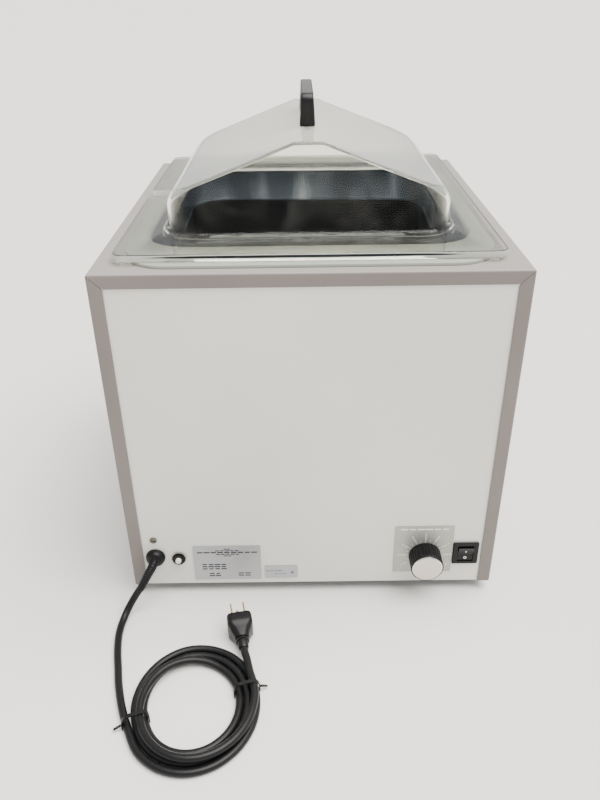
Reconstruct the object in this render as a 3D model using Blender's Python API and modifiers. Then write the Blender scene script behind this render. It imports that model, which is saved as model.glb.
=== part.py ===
"""General-purpose laboratory water bath with a clear gable cover, as separate solids.

World frame: +X to the right of someone facing the controls, +Y towards the back, +Z up.
The origin is on the bench, midway across the casing and midway between the knob's front
face and the rear screw heads. Every length is in metres.
"""

import math

import bmesh
import bpy
from mathutils import Matrix, Vector

# Casing
WIDTH = 0.380
DEPTH = 0.424
CASE_HEIGHT = 0.349
SHEET = 0.0012
BEND_RADIUS = 0.0018
FRONT_FLANGE_SIDE = 0.0132
FRONT_FLANGE_TOP = 0.0126
REAR_FLANGE = 0.022
BASE_FLANGE = 0.016
GAP = 0.0003
HOLE_CLEARANCE = 0.0003
RUNNING_CLEARANCE = 0.0001

# Feet
FOOT_HEIGHT = 0.013
FOOT_RADIUS = 0.012
FOOT_TIP_RADIUS = 0.0098
FOOT_INSET = 0.042
FOOT_RECESS_RADIUS = 0.0052
FOOT_RECESS_DEPTH = 0.0075

# Screws
SCREW_RADIUS = 0.0020
SCREW_HEAD_RADIUS = 0.0038
SCREW_HEAD_HEIGHT = 0.0020
SLOT_WIDTH = 0.0009
SLOT_DEPTH = 0.0009
REAR_SCREW_LENGTH = 0.008

# Tank: its opening, its flange and its depth
TANK_SHEET = 0.0010
OPENING_WIDTH = 0.304
OPENING_DEPTH = 0.344
OPENING_FRONT_MARGIN = 0.048
OPENING_RADIUS = 0.045
LIP_RADIUS = 0.004
RIM_WIDTH = 0.328
RIM_FRONT_MARGIN = 0.013
RIM_REAR_MARGIN = 0.012
RIM_RADIUS = 0.040
RIM_RAISE = 0.003
TANK_DEPTH = 0.165
TANK_DRAFT = 0.003
TANK_FLOOR_RADIUS = 0.024
DECK_CLEARANCE = 0.005
GASKET_WIDTH = 0.007

# Heater, insulation and heat shield
HEATER_THICKNESS = 0.0025
HEATER_MARGIN = 0.030
JACKET_THICKNESS = 0.015
JACKET_TOP_CLEARANCE = 0.006
PAD_THICKNESS = 0.024
SHIELD_FLANGE = 0.014
BULB_CHANNEL_WIDTH = 0.012

# Diffuser shelf
SHELF_SHEET = 0.0012
SHELF_CLEARANCE = 0.005
SHELF_LEG = 0.018
SHELF_HOLE_RADIUS = 0.008
SHELF_COLUMNS = 4
SHELF_ROWS = 5

# Clear cover: a flat plate with a gable dome
COVER_WIDTH = 0.344
COVER_FRONT_MARGIN = 0.0215
COVER_REAR_MARGIN = 0.010
COVER_SHEET = 0.0064
COVER_CORNER_RADIUS = 0.011
DOME_WALL = 0.004
DOME_WIDTH = 0.269
DOME_FRONT_INSET = 0.0565
DOME_REAR_INSET = 0.062
DOME_CORNER_RADIUS = 0.032
DOME_END_DRAFT = 0.007
DOME_SIDE_DRAFT = 0.0015
RIDGE_RISE = 0.0793
RIDGE_HALF_WIDTH = 0.013
ROOF_SLOPE = math.radians(20.9)
ROOF_EDGE_RADIUS = 0.004
EAVE_RADIUS = 0.014
NOTCH_LENGTH = 0.032
NOTCH_WIDTH = 0.025
NOTCH_FROM_FRONT = 0.216

# Handle on the ridge
HANDLE_LENGTH = 0.116
HANDLE_HEIGHT = 0.030
HANDLE_WIDTH = 0.0118
HANDLE_FOOT_WIDTH = 0.0155
HANDLE_LEG = 0.016
HANDLE_BAR = 0.0085
HANDLE_CORNER = 0.009
HANDLE_SCREW_DEPTH = 0.010

# Controls on the front panel: places are (across from the middle, up from the bottom edge)
KNOB_PLACE = (0.1177, 0.037)
KNOB_RADIUS = 0.0168
KNOB_LENGTH = 0.021
KNOB_CLEARANCE = 0.0008
KNOB_FLUTES = 30
KNOB_FLUTE_DEPTH = 0.0005
KNOB_CAP_RADIUS = 0.0153
KNOB_CAP_DEPTH = 0.0014
SHAFT_RADIUS = 0.003
SHAFT_GRIP = 0.013
BUSHING_RADIUS = 0.005
BUSHING_NUT_RADIUS = 0.0078
BUSHING_NUT_THICKNESS = 0.0022
THERMOSTAT_SIZE = (0.046, 0.034, 0.042)
SCALE_PLATE_SIZE = (0.0606, 0.0608)
SCALE_PLATE_LOW = (0.0858, 0.0137)
SCALE_PLATE_THICKNESS = 0.0008
BULB_RADIUS = 0.0029
BULB_LENGTH = 0.080
CAPILLARY_RADIUS = 0.0009

SWITCH_LOW = (0.147, 0.0253)
SWITCH_SIZE = (0.0265, 0.0276)
SWITCH_PROUD = 0.0026
SWITCH_BODY_SIZE = (0.0215, 0.0225)
SWITCH_BODY_DEPTH = 0.024
SWITCH_WINDOW = (0.0165, 0.0200)
SWITCH_WELL_DEPTH = 0.0125
ROCKER_CLEARANCE = 0.0005
ROCKER_SWING = math.radians(20)
ROCKER_PIVOT_DEPTH = 0.0016
ROCKER_RISE = 0.0038
TRUNNION_RADIUS = 0.0013
TRUNNION_LENGTH = 0.0015

BREAKER_PLACE = (-0.1397, 0.036)
BREAKER_RADIUS = 0.0070
BREAKER_NUT_RADIUS = 0.0082
BREAKER_NUT_THICKNESS = 0.0018
BREAKER_PROUD = 0.0040
BREAKER_BODY_SIZE = (0.020, 0.028, 0.015)
BUTTON_RADIUS = 0.0029
BUTTON_PROUD = 0.0030
BUTTON_TRAVEL = 0.0022

NAMEPLATE_LOW = (-0.1246, 0.0055)
NAMEPLATE_SIZE = (0.0708, 0.0460)
LABEL_LOW = (-0.0504, 0.0067)
LABEL_SIZE = (0.0350, 0.0168)
LABEL_THICKNESS = 0.0005
PANEL_SCREW_PLACE = (-0.1642, 0.060)

# Strain relief and cord
GLAND_PLACE = (-0.1638, 0.038)
GLAND_RADIUS = 0.0100
GLAND_PROUD = 0.0062
GLAND_NECK_RADIUS = 0.0078
GLAND_TAIL = 0.011
SLEEVE_RADIUS = 0.0060
SLEEVE_TIP_RADIUS = 0.0046
CORD_RADIUS = 0.0038
CORD_POINT_SPACING = 0.012
COIL_CENTRE = (-0.1115, -0.1458)
COIL_OUTER_RADIUS = 0.062
COIL_INNER_RADIUS = 0.040
COIL_LAYERS = 2
COIL_STRETCH = 1.12

# The cord's route: across, out in front of the casing (negative is outwards) and up from
# the casing's bottom edge, so the bench is at minus the foot height.
SLEEVE_ROUTE = (
    (-0.1638, 0.0000, 0.0380),
    (-0.1638, -0.0060, 0.0380),
    (-0.1646, -0.0125, 0.0363),
    (-0.1675, -0.0175, 0.0315),
    (-0.1720, -0.0205, 0.0250),
    (-0.1770, -0.0222, 0.0180),
)
LEAD_ROUTE = (
    (-0.1770, -0.0222, 0.0180),
    (-0.1825, -0.0243, 0.0105),
    (-0.1880, -0.0280, 0.0025),
    (-0.1923, -0.0335, -0.0040),
    (-0.1950, -0.0410, -0.0080),
    (-0.1962, -0.0520, -0.0092),
    (-0.1955, -0.0660, -0.0092),
    (-0.1925, -0.0840, -0.0092),
    (-0.1880, -0.1030, -0.0092),
    (-0.1840, -0.1200, -0.0092),
)
TAIL_ROUTE = (
    (-0.0675, -0.0885, -0.0010),
    (-0.0670, -0.0906, -0.0012),
    (-0.0664, -0.0930, -0.0013),
)

# Plug: its face, the way its blades point and its body
PLUG_FACE = (-0.0748, -0.053)
PLUG_TURN = math.radians(11.4)
PLUG_WIDTH = 0.0250
PLUG_HEIGHT = 0.0265
PLUG_SHOULDER = 0.0130
PLUG_WAIST = 0.0240
PLUG_WAIST_SIZE = 0.0150
PLUG_LENGTH = 0.0360
PLUG_AXIS_HEIGHT = 0.0120
BLADE_SPACING = 0.0127
BLADE_TO_PIN = 0.0119
BLADE_LENGTH = 0.0159
BLADE_WIDTH = 0.0063
BLADE_THICKNESS = 0.0015
PIN_RADIUS = 0.0024
PIN_LENGTH = 0.0190
PIN_HEIGHT = 0.0071

# Ties round the coil
TIE_ANGLES = (math.radians(197), math.radians(16))
TIE_WIDTH = 0.004
TIE_THICKNESS = 0.0010
TIE_END = 0.010

# Inner wiring
WIRE_RADIUS = 0.0012
WIRE_LUG = 0.009
TERMINAL_SIZE = (0.044, 0.020, 0.018)
TERMINAL_PLACE = (-0.020, 0.075)

ROUND = 32
SMALL_ROUND = 16

# Planes and heights worked out from the sizes above
PANEL_SETBACK = SHEET + GAP
KNOB_STAND = SCALE_PLATE_THICKNESS + GAP + KNOB_CLEARANCE
KNOB_PROUD = KNOB_STAND + KNOB_LENGTH - PANEL_SETBACK
FRONT_Y = (KNOB_PROUD - DEPTH - SCREW_HEAD_HEIGHT - GAP) / 2
REAR_Y = FRONT_Y + DEPTH
PANEL_Y = FRONT_Y + PANEL_SETBACK
BOTTOM_Z = FOOT_HEIGHT
TOP_Z = BOTTOM_Z + CASE_HEIGHT
RIM_Z = TOP_Z + RIM_RAISE
FLOOR_Z = RIM_Z - TANK_DEPTH
OPENING_Y = FRONT_Y + OPENING_FRONT_MARGIN + OPENING_DEPTH / 2
COVER_Z = RIM_Z + GAP
COVER_TOP_Z = COVER_Z + COVER_SHEET
RIDGE_Z = COVER_TOP_Z + RIDGE_RISE
COVER_FRONT_Y = FRONT_Y + COVER_FRONT_MARGIN
COVER_REAR_Y = REAR_Y - COVER_REAR_MARGIN
DOME_FRONT_Y = COVER_FRONT_Y + DOME_FRONT_INSET
DOME_REAR_Y = COVER_REAR_Y - DOME_REAR_INSET
DOME_Y = (DOME_FRONT_Y + DOME_REAR_Y) / 2
HEATER_Z = FLOOR_Z - TANK_SHEET - GAP - HEATER_THICKNESS
PAD_Z = HEATER_Z - GAP - PAD_THICKNESS
SHIELD_Z = PAD_Z - GAP - SHEET
JACKET_INNER = TANK_SHEET + GAP + LIP_RADIUS


for old in list(bpy.data.objects):
    bpy.data.objects.remove(old, do_unlink=True)

PARTS = bpy.data.collections.new("water_bath")
CUTTERS = bpy.data.collections.new("cutters")
for collection in (PARTS, CUTTERS):
    bpy.context.scene.collection.children.link(collection)
CUTTERS.hide_render = True


# Helpers


def material(name, colour, roughness, metallic=0.0):
    made = bpy.data.materials.get(name)
    if made is None:
        made = bpy.data.materials.new(name)
        made.use_nodes = True
        shader = made.node_tree.nodes["Principled BSDF"]
        shader.inputs["Base Color"].default_value = (*colour, 1.0)
        shader.inputs["Roughness"].default_value = roughness
        shader.inputs["Metallic"].default_value = metallic
    return made


def add(name, mesh, finish=None):
    """Links a mesh or curve as a part with its finish, or as a cutter if it has none."""
    made = bpy.data.objects.new(name, mesh)
    if finish is None:
        CUTTERS.objects.link(made)
        made.hide_render = True
        made.display_type = "WIRE"
    else:
        PARTS.objects.link(made)
        mesh.materials.append(material(name, *finish))
    return made


def face_outwards(bm):
    bmesh.ops.recalc_face_normals(bm, faces=bm.faces)
    if bm.calc_volume(signed=True) < 0:
        bmesh.ops.reverse_faces(bm, faces=bm.faces)


def finish_mesh(bm, name, recalculate=True):
    """A mesh from bm, smooth but for its edges. An open shell keeps the normals it has."""
    mesh = bpy.data.meshes.new(name)
    if recalculate:
        face_outwards(bm)
    bm.to_mesh(mesh)
    bm.free()
    mesh.shade_smooth()
    mesh.set_sharp_from_angle(angle=math.radians(30))
    return mesh


def box(name, low, high, finish=None):
    """A box between two opposite corners."""
    bm = bmesh.new()
    bmesh.ops.create_cube(bm, size=1.0)
    low = Vector(low)
    high = Vector(high)
    size = high - low
    for vert in bm.verts:
        vert.co = Vector([(low[i] + high[i]) / 2 + vert.co[i] * size[i] for i in range(3)])
    return add(name, finish_mesh(bm, name), finish)


def rod(name, start, end, radius, finish=None, end_radius=None, sides=ROUND):
    """A cylinder, or a cone if end_radius is given, from one point to another."""
    bm = bmesh.new()
    start = Vector(start)
    way = Vector(end) - start
    bmesh.ops.create_cone(
        bm,
        cap_ends=True,
        segments=sides,
        radius1=radius,
        radius2=radius if end_radius is None else end_radius,
        depth=way.length,
    )
    turn = way.to_track_quat("Z", "Y").to_matrix().to_4x4()
    bm.transform(Matrix.Translation(start + way / 2) @ turn)
    return add(name, finish_mesh(bm, name), finish)


def turned(name, profile, origin, axis, finish=None, sides=ROUND):
    """Turns a profile of (radius, height) points, top to bottom, round an axis at origin."""
    bm = bmesh.new()
    verts = [bm.verts.new((radius, 0.0, height)) for radius, height in profile]
    for first, second in zip(verts, verts[1:]):
        bm.edges.new((first, second))
    mesh = bpy.data.meshes.new(name)
    bm.to_mesh(mesh)
    bm.free()
    made = add(name, mesh, finish)
    made.location = origin
    made.rotation_mode = "QUATERNION"
    made.rotation_quaternion = Vector(axis).to_track_quat("Z", "Y")
    screw = made.modifiers.new("turn", "SCREW")
    screw.steps = sides
    screw.render_steps = sides
    screw.use_merge_vertices = True
    screw.merge_threshold = 0.00001
    screw.use_smooth_shade = True
    return made


def as_mesh(made, matrix=None):
    """Replaces a curve by its welded mesh, so that it can be cut or joined."""
    bpy.context.view_layer.update()
    graph = bpy.context.evaluated_depsgraph_get()
    mesh = bpy.data.meshes.new_from_object(made.evaluated_get(graph))
    bm = bmesh.new()
    bm.from_mesh(mesh)
    bmesh.ops.remove_doubles(bm, verts=bm.verts, dist=0.00001)
    bm.transform(made.matrix_world if matrix is None else matrix)
    face_outwards(bm)
    bm.to_mesh(mesh)
    bm.free()
    name = made.name
    home = made.users_collection[0]
    hidden = made.hide_render
    bpy.data.objects.remove(made, do_unlink=True)
    mesh.shade_smooth()
    mesh.set_sharp_from_angle(angle=math.radians(30))
    made = bpy.data.objects.new(name, mesh)
    home.objects.link(made)
    made.hide_render = hidden
    if hidden:
        made.display_type = "WIRE"
    return made


def rounded_rectangle(width, depth, radius, corner_steps=6):
    """Points of a rounded rectangle round the origin, anticlockwise from the right side."""
    points = []
    for quarter in range(4):
        side_x = 1 if quarter in (0, 3) else -1
        side_y = 1 if quarter in (0, 1) else -1
        centre_x = side_x * (width / 2 - radius)
        centre_y = side_y * (depth / 2 - radius)
        for step in range(corner_steps + 1):
            angle = math.pi / 2 * (quarter + step / corner_steps)
            points.append(
                (centre_x + radius * math.cos(angle), centre_y + radius * math.sin(angle))
            )
    return points


def slab(name, outline, low, thickness, finish=None, upright=False, place=(0.0, 0.0)):
    """A flat outline given a thickness: lying with its underside at height low, or upright
    with its back at depth low, facing the front. place moves the outline's origin."""
    curve = bpy.data.curves.new(name, "CURVE")
    curve.dimensions = "2D"
    curve.fill_mode = "BOTH"
    curve.extrude = thickness / 2
    spline = curve.splines.new("POLY")
    spline.points.add(len(outline) - 1)
    for point, (across, along) in zip(spline.points, outline):
        point.co = (across, along, 0.0, 1.0)
    spline.use_cyclic_u = True
    made = add(name, curve, finish)
    if upright:
        made.rotation_euler = (math.pi / 2, 0.0, 0.0)
        made.location = (place[0], low - thickness / 2, place[1])
    else:
        made.location = (place[0], place[1], low + thickness / 2)
    return as_mesh(made)


def loft(name, rings, finish=None, cap_first=True, cap_last=True):
    """Skins rings of equal point counts, and caps the first and last."""
    bm = bmesh.new()
    loops = [[bm.verts.new(point) for point in ring] for ring in rings]
    count = len(loops[0])
    for lower, upper in zip(loops, loops[1:]):
        for i in range(count):
            j = (i + 1) % count
            bm.faces.new((lower[i], lower[j], upper[j], upper[i]))
    if cap_first:
        bm.faces.new(reversed(loops[0]))
    if cap_last:
        bm.faces.new(loops[-1])
    return add(name, finish_mesh(bm, name), finish)


def smooth_route(points, spacing):
    """Points at even spacing on a smooth curve through the given ones."""
    points = [Vector(point) for point in points]
    ends = [2 * points[0] - points[1], *points, 2 * points[-1] - points[-2]]
    fine = []
    steps = 24
    for before, start, end, after in zip(ends, ends[1:], ends[2:], ends[3:]):
        for step in range(steps):
            t = step / steps
            fine.append(
                0.5
                * (
                    2 * start
                    + (end - before) * t
                    + (2 * before - 5 * start + 4 * end - after) * t * t
                    + (3 * start - before - 3 * end + after) * t * t * t
                )
            )
    fine.append(points[-1])
    lengths = [0.0]
    for first, second in zip(fine, fine[1:]):
        lengths.append(lengths[-1] + (second - first).length)
    count = max(2, round(lengths[-1] / spacing))
    even = []
    index = 0
    for number in range(count + 1):
        wanted = lengths[-1] * number / count
        while index < len(fine) - 2 and lengths[index + 1] < wanted:
            index += 1
        share = (wanted - lengths[index]) / (lengths[index + 1] - lengths[index])
        even.append(fine[index].lerp(fine[index + 1], share))
    return even


def tube(name, points, radius, finish, end_radius=None, sides_level=2):
    """A round tube along points, whose radius runs evenly to end_radius if that is given."""
    curve = bpy.data.curves.new(name, "CURVE")
    curve.dimensions = "3D"
    curve.bevel_depth = 1.0
    curve.bevel_resolution = sides_level
    curve.use_fill_caps = True
    spline = curve.splines.new("POLY")
    spline.points.add(len(points) - 1)
    last = radius if end_radius is None else end_radius
    for number, (point, place) in enumerate(zip(spline.points, points)):
        point.co = (*place, 1.0)
        point.radius = radius + (last - radius) * number / (len(points) - 1)
    return add(name, curve, finish)


def change(target, tool, operation):
    boolean = target.modifiers.new(tool.name, "BOOLEAN")
    boolean.operation = operation
    boolean.solver = "EXACT"
    boolean.object = tool


def cut(target, *tools):
    for tool in tools:
        change(target, tool, "DIFFERENCE")


def join(target, *tools):
    for tool in tools:
        change(target, tool, "UNION")


def round_edges(target, width, segments=2, angle=40):
    bevel = target.modifiers.new("rounded_edges", "BEVEL")
    bevel.width = width
    bevel.segments = segments
    bevel.limit_method = "ANGLE"
    bevel.angle_limit = math.radians(angle)


def panel_point(place, out=0.0):
    """The world point at a place on the front panel's face, moved out towards the user."""
    return Vector((place[0], PANEL_Y - out, BOTTOM_Z + place[1]))


def route_point(point):
    """A cord route's point in world coordinates."""
    return Vector((point[0], FRONT_Y + point[1], BOTTOM_Z + point[2]))


# Finishes: colour, roughness and metallic value

CASE_PAINT = ((0.42, 0.39, 0.37), 0.45)
PANEL_PAINT = ((0.74, 0.73, 0.69), 0.35)
ZINC = ((0.55, 0.56, 0.57), 0.4, 1.0)
STAINLESS = ((0.62, 0.63, 0.62), 0.25, 1.0)
BLACK_PLASTIC = ((0.015, 0.015, 0.017), 0.35)
BLACK_RUBBER = ((0.012, 0.012, 0.012), 0.7)
CLEAR_SHEET = ((0.86, 0.90, 0.86), 0.05)
BRUSHED_ALUMINIUM = ((0.70, 0.66, 0.62), 0.35, 1.0)
PRINTED_PLATE = ((0.40, 0.40, 0.38), 0.4, 0.6)
GLASS_WOOL = ((0.80, 0.72, 0.45), 0.95)
SILICONE = ((0.45, 0.12, 0.06), 0.6)
BRASS = ((0.75, 0.58, 0.28), 0.3, 1.0)
COPPER = ((0.72, 0.40, 0.25), 0.3, 1.0)
NICKEL = ((0.70, 0.68, 0.64), 0.25, 1.0)
WHITE_PLASTIC = ((0.80, 0.80, 0.78), 0.4)
CORD_JACKET = ((0.014, 0.014, 0.015), 0.45)


# Casing


def make_case_wrapper():
    """The folded sheet that is the top, both sides and the flanges round front and rear."""
    half = WIDTH / 2
    bm = bmesh.new()
    bmesh.ops.create_cube(bm, size=1.0)
    for vert in bm.verts:
        vert.co.x *= WIDTH
        vert.co.y = FRONT_Y if vert.co.y < 0 else REAR_Y
        vert.co.z = BOTTOM_Z if vert.co.z < 0 else TOP_Z
    open_face = [face for face in bm.faces if face.normal.z < -0.5]
    bmesh.ops.delete(bm, geom=open_face, context="FACES")
    wrapper = add("case_wrapper", finish_mesh(bm, "case_wrapper", False), CASE_PAINT)
    round_edges(wrapper, BEND_RADIUS)
    thicken = wrapper.modifiers.new("sheet", "SOLIDIFY")
    thicken.thickness = SHEET
    thicken.offset = -1.0
    thicken.use_even_offset = True
    below = BOTTOM_Z - SHEET
    front = box(
        "front_window",
        (-half + FRONT_FLANGE_SIDE, FRONT_Y - SHEET, below),
        (half - FRONT_FLANGE_SIDE, FRONT_Y + 2 * SHEET, TOP_Z - FRONT_FLANGE_TOP),
    )
    rear = box(
        "rear_window",
        (-half + REAR_FLANGE, REAR_Y - 2 * SHEET, below),
        (half - REAR_FLANGE, REAR_Y + SHEET, TOP_Z - REAR_FLANGE),
    )
    hole = slab(
        "deck_hole",
        rounded_rectangle(
            OPENING_WIDTH + 2 * DECK_CLEARANCE,
            OPENING_DEPTH + 2 * DECK_CLEARANCE,
            OPENING_RADIUS + DECK_CLEARANCE,
        ),
        TOP_Z - 3 * SHEET,
        6 * SHEET,
        place=(0.0, OPENING_Y),
    )
    cut(wrapper, front, rear, hole)
    for number, place in enumerate(rear_screw_places(), 1):
        cut(wrapper, rear_screw_hole(number, place))


def rear_screw_places():
    across = WIDTH / 2 - REAR_FLANGE / 2
    heights = (BOTTOM_Z + BASE_FLANGE + REAR_FLANGE, TOP_Z - REAR_FLANGE / 2)
    return [(side * across, height) for side in (-1, 1) for height in heights]


def rear_screw_hole(number, place):
    """The hole through the rear flange and panel for one rear screw."""
    name = "rear_screw_hole_%d" % number
    found = bpy.data.objects.get(name)
    if found is None:
        found = rod(
            name,
            (place[0], REAR_Y - REAR_SCREW_LENGTH, place[1]),
            (place[0], REAR_Y + REAR_SCREW_LENGTH, place[1]),
            SCREW_RADIUS + HOLE_CLEARANCE,
            sides=SMALL_ROUND,
        )
    return found


def make_front_panel():
    """The white control panel, set behind the casing's front flange."""
    half = WIDTH / 2 - SHEET - GAP
    panel = box(
        "front_panel",
        (-half, PANEL_Y, BOTTOM_Z),
        (half, PANEL_Y + SHEET, TOP_Z - SHEET - GAP),
        PANEL_PAINT,
    )
    window = box(
        "switch_hole",
        (
            switch_centre().x - SWITCH_BODY_SIZE[0] / 2 - HOLE_CLEARANCE,
            PANEL_Y - SHEET,
            switch_centre().z - SWITCH_BODY_SIZE[1] / 2 - HOLE_CLEARANCE,
        ),
        (
            switch_centre().x + SWITCH_BODY_SIZE[0] / 2 + HOLE_CLEARANCE,
            PANEL_Y + 2 * SHEET,
            switch_centre().z + SWITCH_BODY_SIZE[1] / 2 + HOLE_CLEARANCE,
        ),
    )
    holes = (
        ("bushing_hole", KNOB_PLACE, BUSHING_RADIUS),
        ("breaker_hole", BREAKER_PLACE, BREAKER_RADIUS),
        ("gland_hole", GLAND_PLACE, GLAND_NECK_RADIUS),
        ("panel_screw_hole", PANEL_SCREW_PLACE, SCREW_RADIUS),
    )
    cut(panel, window)
    for name, place, radius in holes:
        hole = rod(
            name,
            panel_point(place, 2 * SHEET),
            panel_point(place, -2 * SHEET),
            radius + HOLE_CLEARANCE,
            sides=ROUND,
        )
        cut(panel, hole)
    screw("panel_screw", panel_point(PANEL_SCREW_PLACE, GAP), (0, -1, 0), SHEET + 0.006, NICKEL)


def make_base_pan():
    """The floor of the casing, a tray inside the wrapper."""
    half = WIDTH / 2 - SHEET - GAP
    bm = bmesh.new()
    bmesh.ops.create_cube(bm, size=1.0)
    for vert in bm.verts:
        vert.co.x *= 2 * half
        vert.co.y = PANEL_Y + SHEET + GAP if vert.co.y < 0 else rear_panel_y() - GAP
        vert.co.z = BOTTOM_Z if vert.co.z < 0 else BOTTOM_Z + BASE_FLANGE
    open_face = [face for face in bm.faces if face.normal.z > 0.5]
    bmesh.ops.delete(bm, geom=open_face, context="FACES")
    pan = add("base_pan", finish_mesh(bm, "base_pan", False), ZINC)
    thicken = pan.modifiers.new("sheet", "SOLIDIFY")
    thicken.thickness = SHEET
    thicken.offset = -1.0
    thicken.use_even_offset = True
    for number, place in enumerate(foot_places(), 1):
        hole = rod(
            "foot_screw_hole_%d" % number,
            (*place, BOTTOM_Z - SHEET),
            (*place, BOTTOM_Z + 2 * SHEET),
            SCREW_RADIUS + HOLE_CLEARANCE,
            sides=SMALL_ROUND,
        )
        cut(pan, hole)


def rear_panel_y():
    """The front face of the rear panel, which lies inside the casing's rear flange."""
    return REAR_Y - 2 * SHEET - GAP


def make_rear_panel():
    half = WIDTH / 2 - SHEET - GAP
    panel = box(
        "rear_panel",
        (-half, rear_panel_y(), BOTTOM_Z),
        (half, rear_panel_y() + SHEET, TOP_Z - SHEET - GAP),
        CASE_PAINT,
    )
    for number, place in enumerate(rear_screw_places(), 1):
        cut(panel, rear_screw_hole(number, place))
        screw(
            "rear_screw_%d" % number,
            (place[0], REAR_Y + GAP, place[1]),
            (0, 1, 0),
            REAR_SCREW_LENGTH,
            NICKEL,
        )


def foot_places():
    across = WIDTH / 2 - FOOT_INSET
    rows = (FRONT_Y + FOOT_INSET, REAR_Y - FOOT_INSET)
    return [(side * across, row) for side in (-1, 1) for row in rows]


def make_feet():
    """Four rubber feet, each with a recess that hides its screw's head."""
    for number, place in enumerate(foot_places(), 1):
        shank = SCREW_RADIUS + HOLE_CLEARANCE
        top = FOOT_HEIGHT - GAP
        profile = (
            (shank, top),
            (FOOT_RADIUS, top),
            (FOOT_RADIUS, top - 0.002),
            (FOOT_TIP_RADIUS, 0.001),
            (FOOT_TIP_RADIUS - 0.001, 0.0),
            (FOOT_RECESS_RADIUS, 0.0),
            (FOOT_RECESS_RADIUS, FOOT_RECESS_DEPTH),
            (shank, FOOT_RECESS_DEPTH),
            (shank, top),
        )
        turned("foot_%d" % number, profile, (*place, 0.0), (0, 0, 1), BLACK_RUBBER, 20)
        seat = Vector((*place, FOOT_RECESS_DEPTH - GAP))
        length = BOTTOM_Z + SHEET + 0.004 - seat.z
        screw("foot_screw_%d" % number, seat, (0, 0, -1), length, NICKEL)


def screw(name, seat, out, length, finish):
    """A slotted pan-head screw whose head sits at seat and points along out."""
    profile = (
        (0.0, SCREW_HEAD_HEIGHT),
        (SCREW_HEAD_RADIUS * 0.6, SCREW_HEAD_HEIGHT),
        (SCREW_HEAD_RADIUS, SCREW_HEAD_HEIGHT * 0.35),
        (SCREW_HEAD_RADIUS, 0.0),
        (SCREW_RADIUS, 0.0),
        (SCREW_RADIUS, -length),
        (0.0, -length),
    )
    made = turned(name, profile, seat, out, finish, SMALL_ROUND)
    out = Vector(out)
    across = Vector((1, 0, 0)) if abs(out.x) < 0.5 else Vector((0, 1, 0))
    side = out.cross(across)
    centre = Vector(seat) + out * SCREW_HEAD_HEIGHT
    reach = across * SCREW_HEAD_RADIUS * 1.2 + out * SLOT_DEPTH
    reach += side * SLOT_WIDTH / 2
    reach = Vector([abs(value) for value in reach])
    cut(made, box(name + "_slot", centre - reach, centre + reach))
    return made


# Tank and what surrounds it


def ring_points(width, depth, radius, centre_y, height, corner_steps=6):
    outline = rounded_rectangle(width, depth, radius, corner_steps)
    return [(x, centre_y + y, height) for x, y in outline]


def make_tank():
    """The deep-drawn stainless tank, hung by a flange whose edge is turned down."""
    rim_front = FRONT_Y + RIM_FRONT_MARGIN
    rim_rear = REAR_Y - RIM_REAR_MARGIN
    rim_y = (rim_front + rim_rear) / 2
    rim_depth = rim_rear - rim_front

    def inset(amount, height, radius):
        return ring_points(
            OPENING_WIDTH - 2 * amount,
            OPENING_DEPTH - 2 * amount,
            radius,
            OPENING_Y,
            height,
        )

    wall = LIP_RADIUS
    foot = wall + TANK_DRAFT
    bend = TANK_FLOOR_RADIUS
    rings = [
        ring_points(RIM_WIDTH, rim_depth, RIM_RADIUS, rim_y, TOP_Z + GAP),
        ring_points(RIM_WIDTH, rim_depth, RIM_RADIUS, rim_y, RIM_Z),
        inset(0.0, RIM_Z, OPENING_RADIUS),
        inset(wall * 0.3, RIM_Z - wall * 0.3, OPENING_RADIUS - wall * 0.3),
        inset(wall, RIM_Z - wall, OPENING_RADIUS - wall),
        inset(foot, FLOOR_Z + bend, OPENING_RADIUS - foot),
        inset(foot + bend * 0.3, FLOOR_Z + bend * 0.3, OPENING_RADIUS - foot - bend * 0.3),
        inset(foot + bend, FLOOR_Z, OPENING_RADIUS - foot - bend * 0.6),
    ]
    tank = loft("tank", rings, STAINLESS, cap_first=False)
    for face in tank.data.polygons:
        if len(face.vertices) > 4 and face.normal.z < 0:
            tank.data.flip_normals()
            break
    thicken = tank.modifiers.new("sheet", "SOLIDIFY")
    thicken.thickness = TANK_SHEET
    thicken.offset = -1.0
    thicken.use_even_offset = True


def make_gasket():
    """The soft ring between the deck and the tank's flange."""
    width = OPENING_WIDTH + 2 * DECK_CLEARANCE
    depth = OPENING_DEPTH + 2 * DECK_CLEARANCE
    radius = OPENING_RADIUS + DECK_CLEARANCE
    low = TOP_Z + GAP
    high = RIM_Z - TANK_SHEET - GAP
    edge = min(GASKET_WIDTH, (RIM_WIDTH - width) / 2 - TANK_SHEET - GAP)
    outer = rounded_rectangle(width + 2 * edge, depth + 2 * edge, radius + edge)
    gasket = slab("tank_gasket", outer, low, high - low, BLACK_RUBBER, place=(0, OPENING_Y))
    inner = rounded_rectangle(width, depth, radius)
    cut(gasket, slab("gasket_hole", inner, low - SHEET, 4 * SHEET, place=(0, OPENING_Y)))


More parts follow.
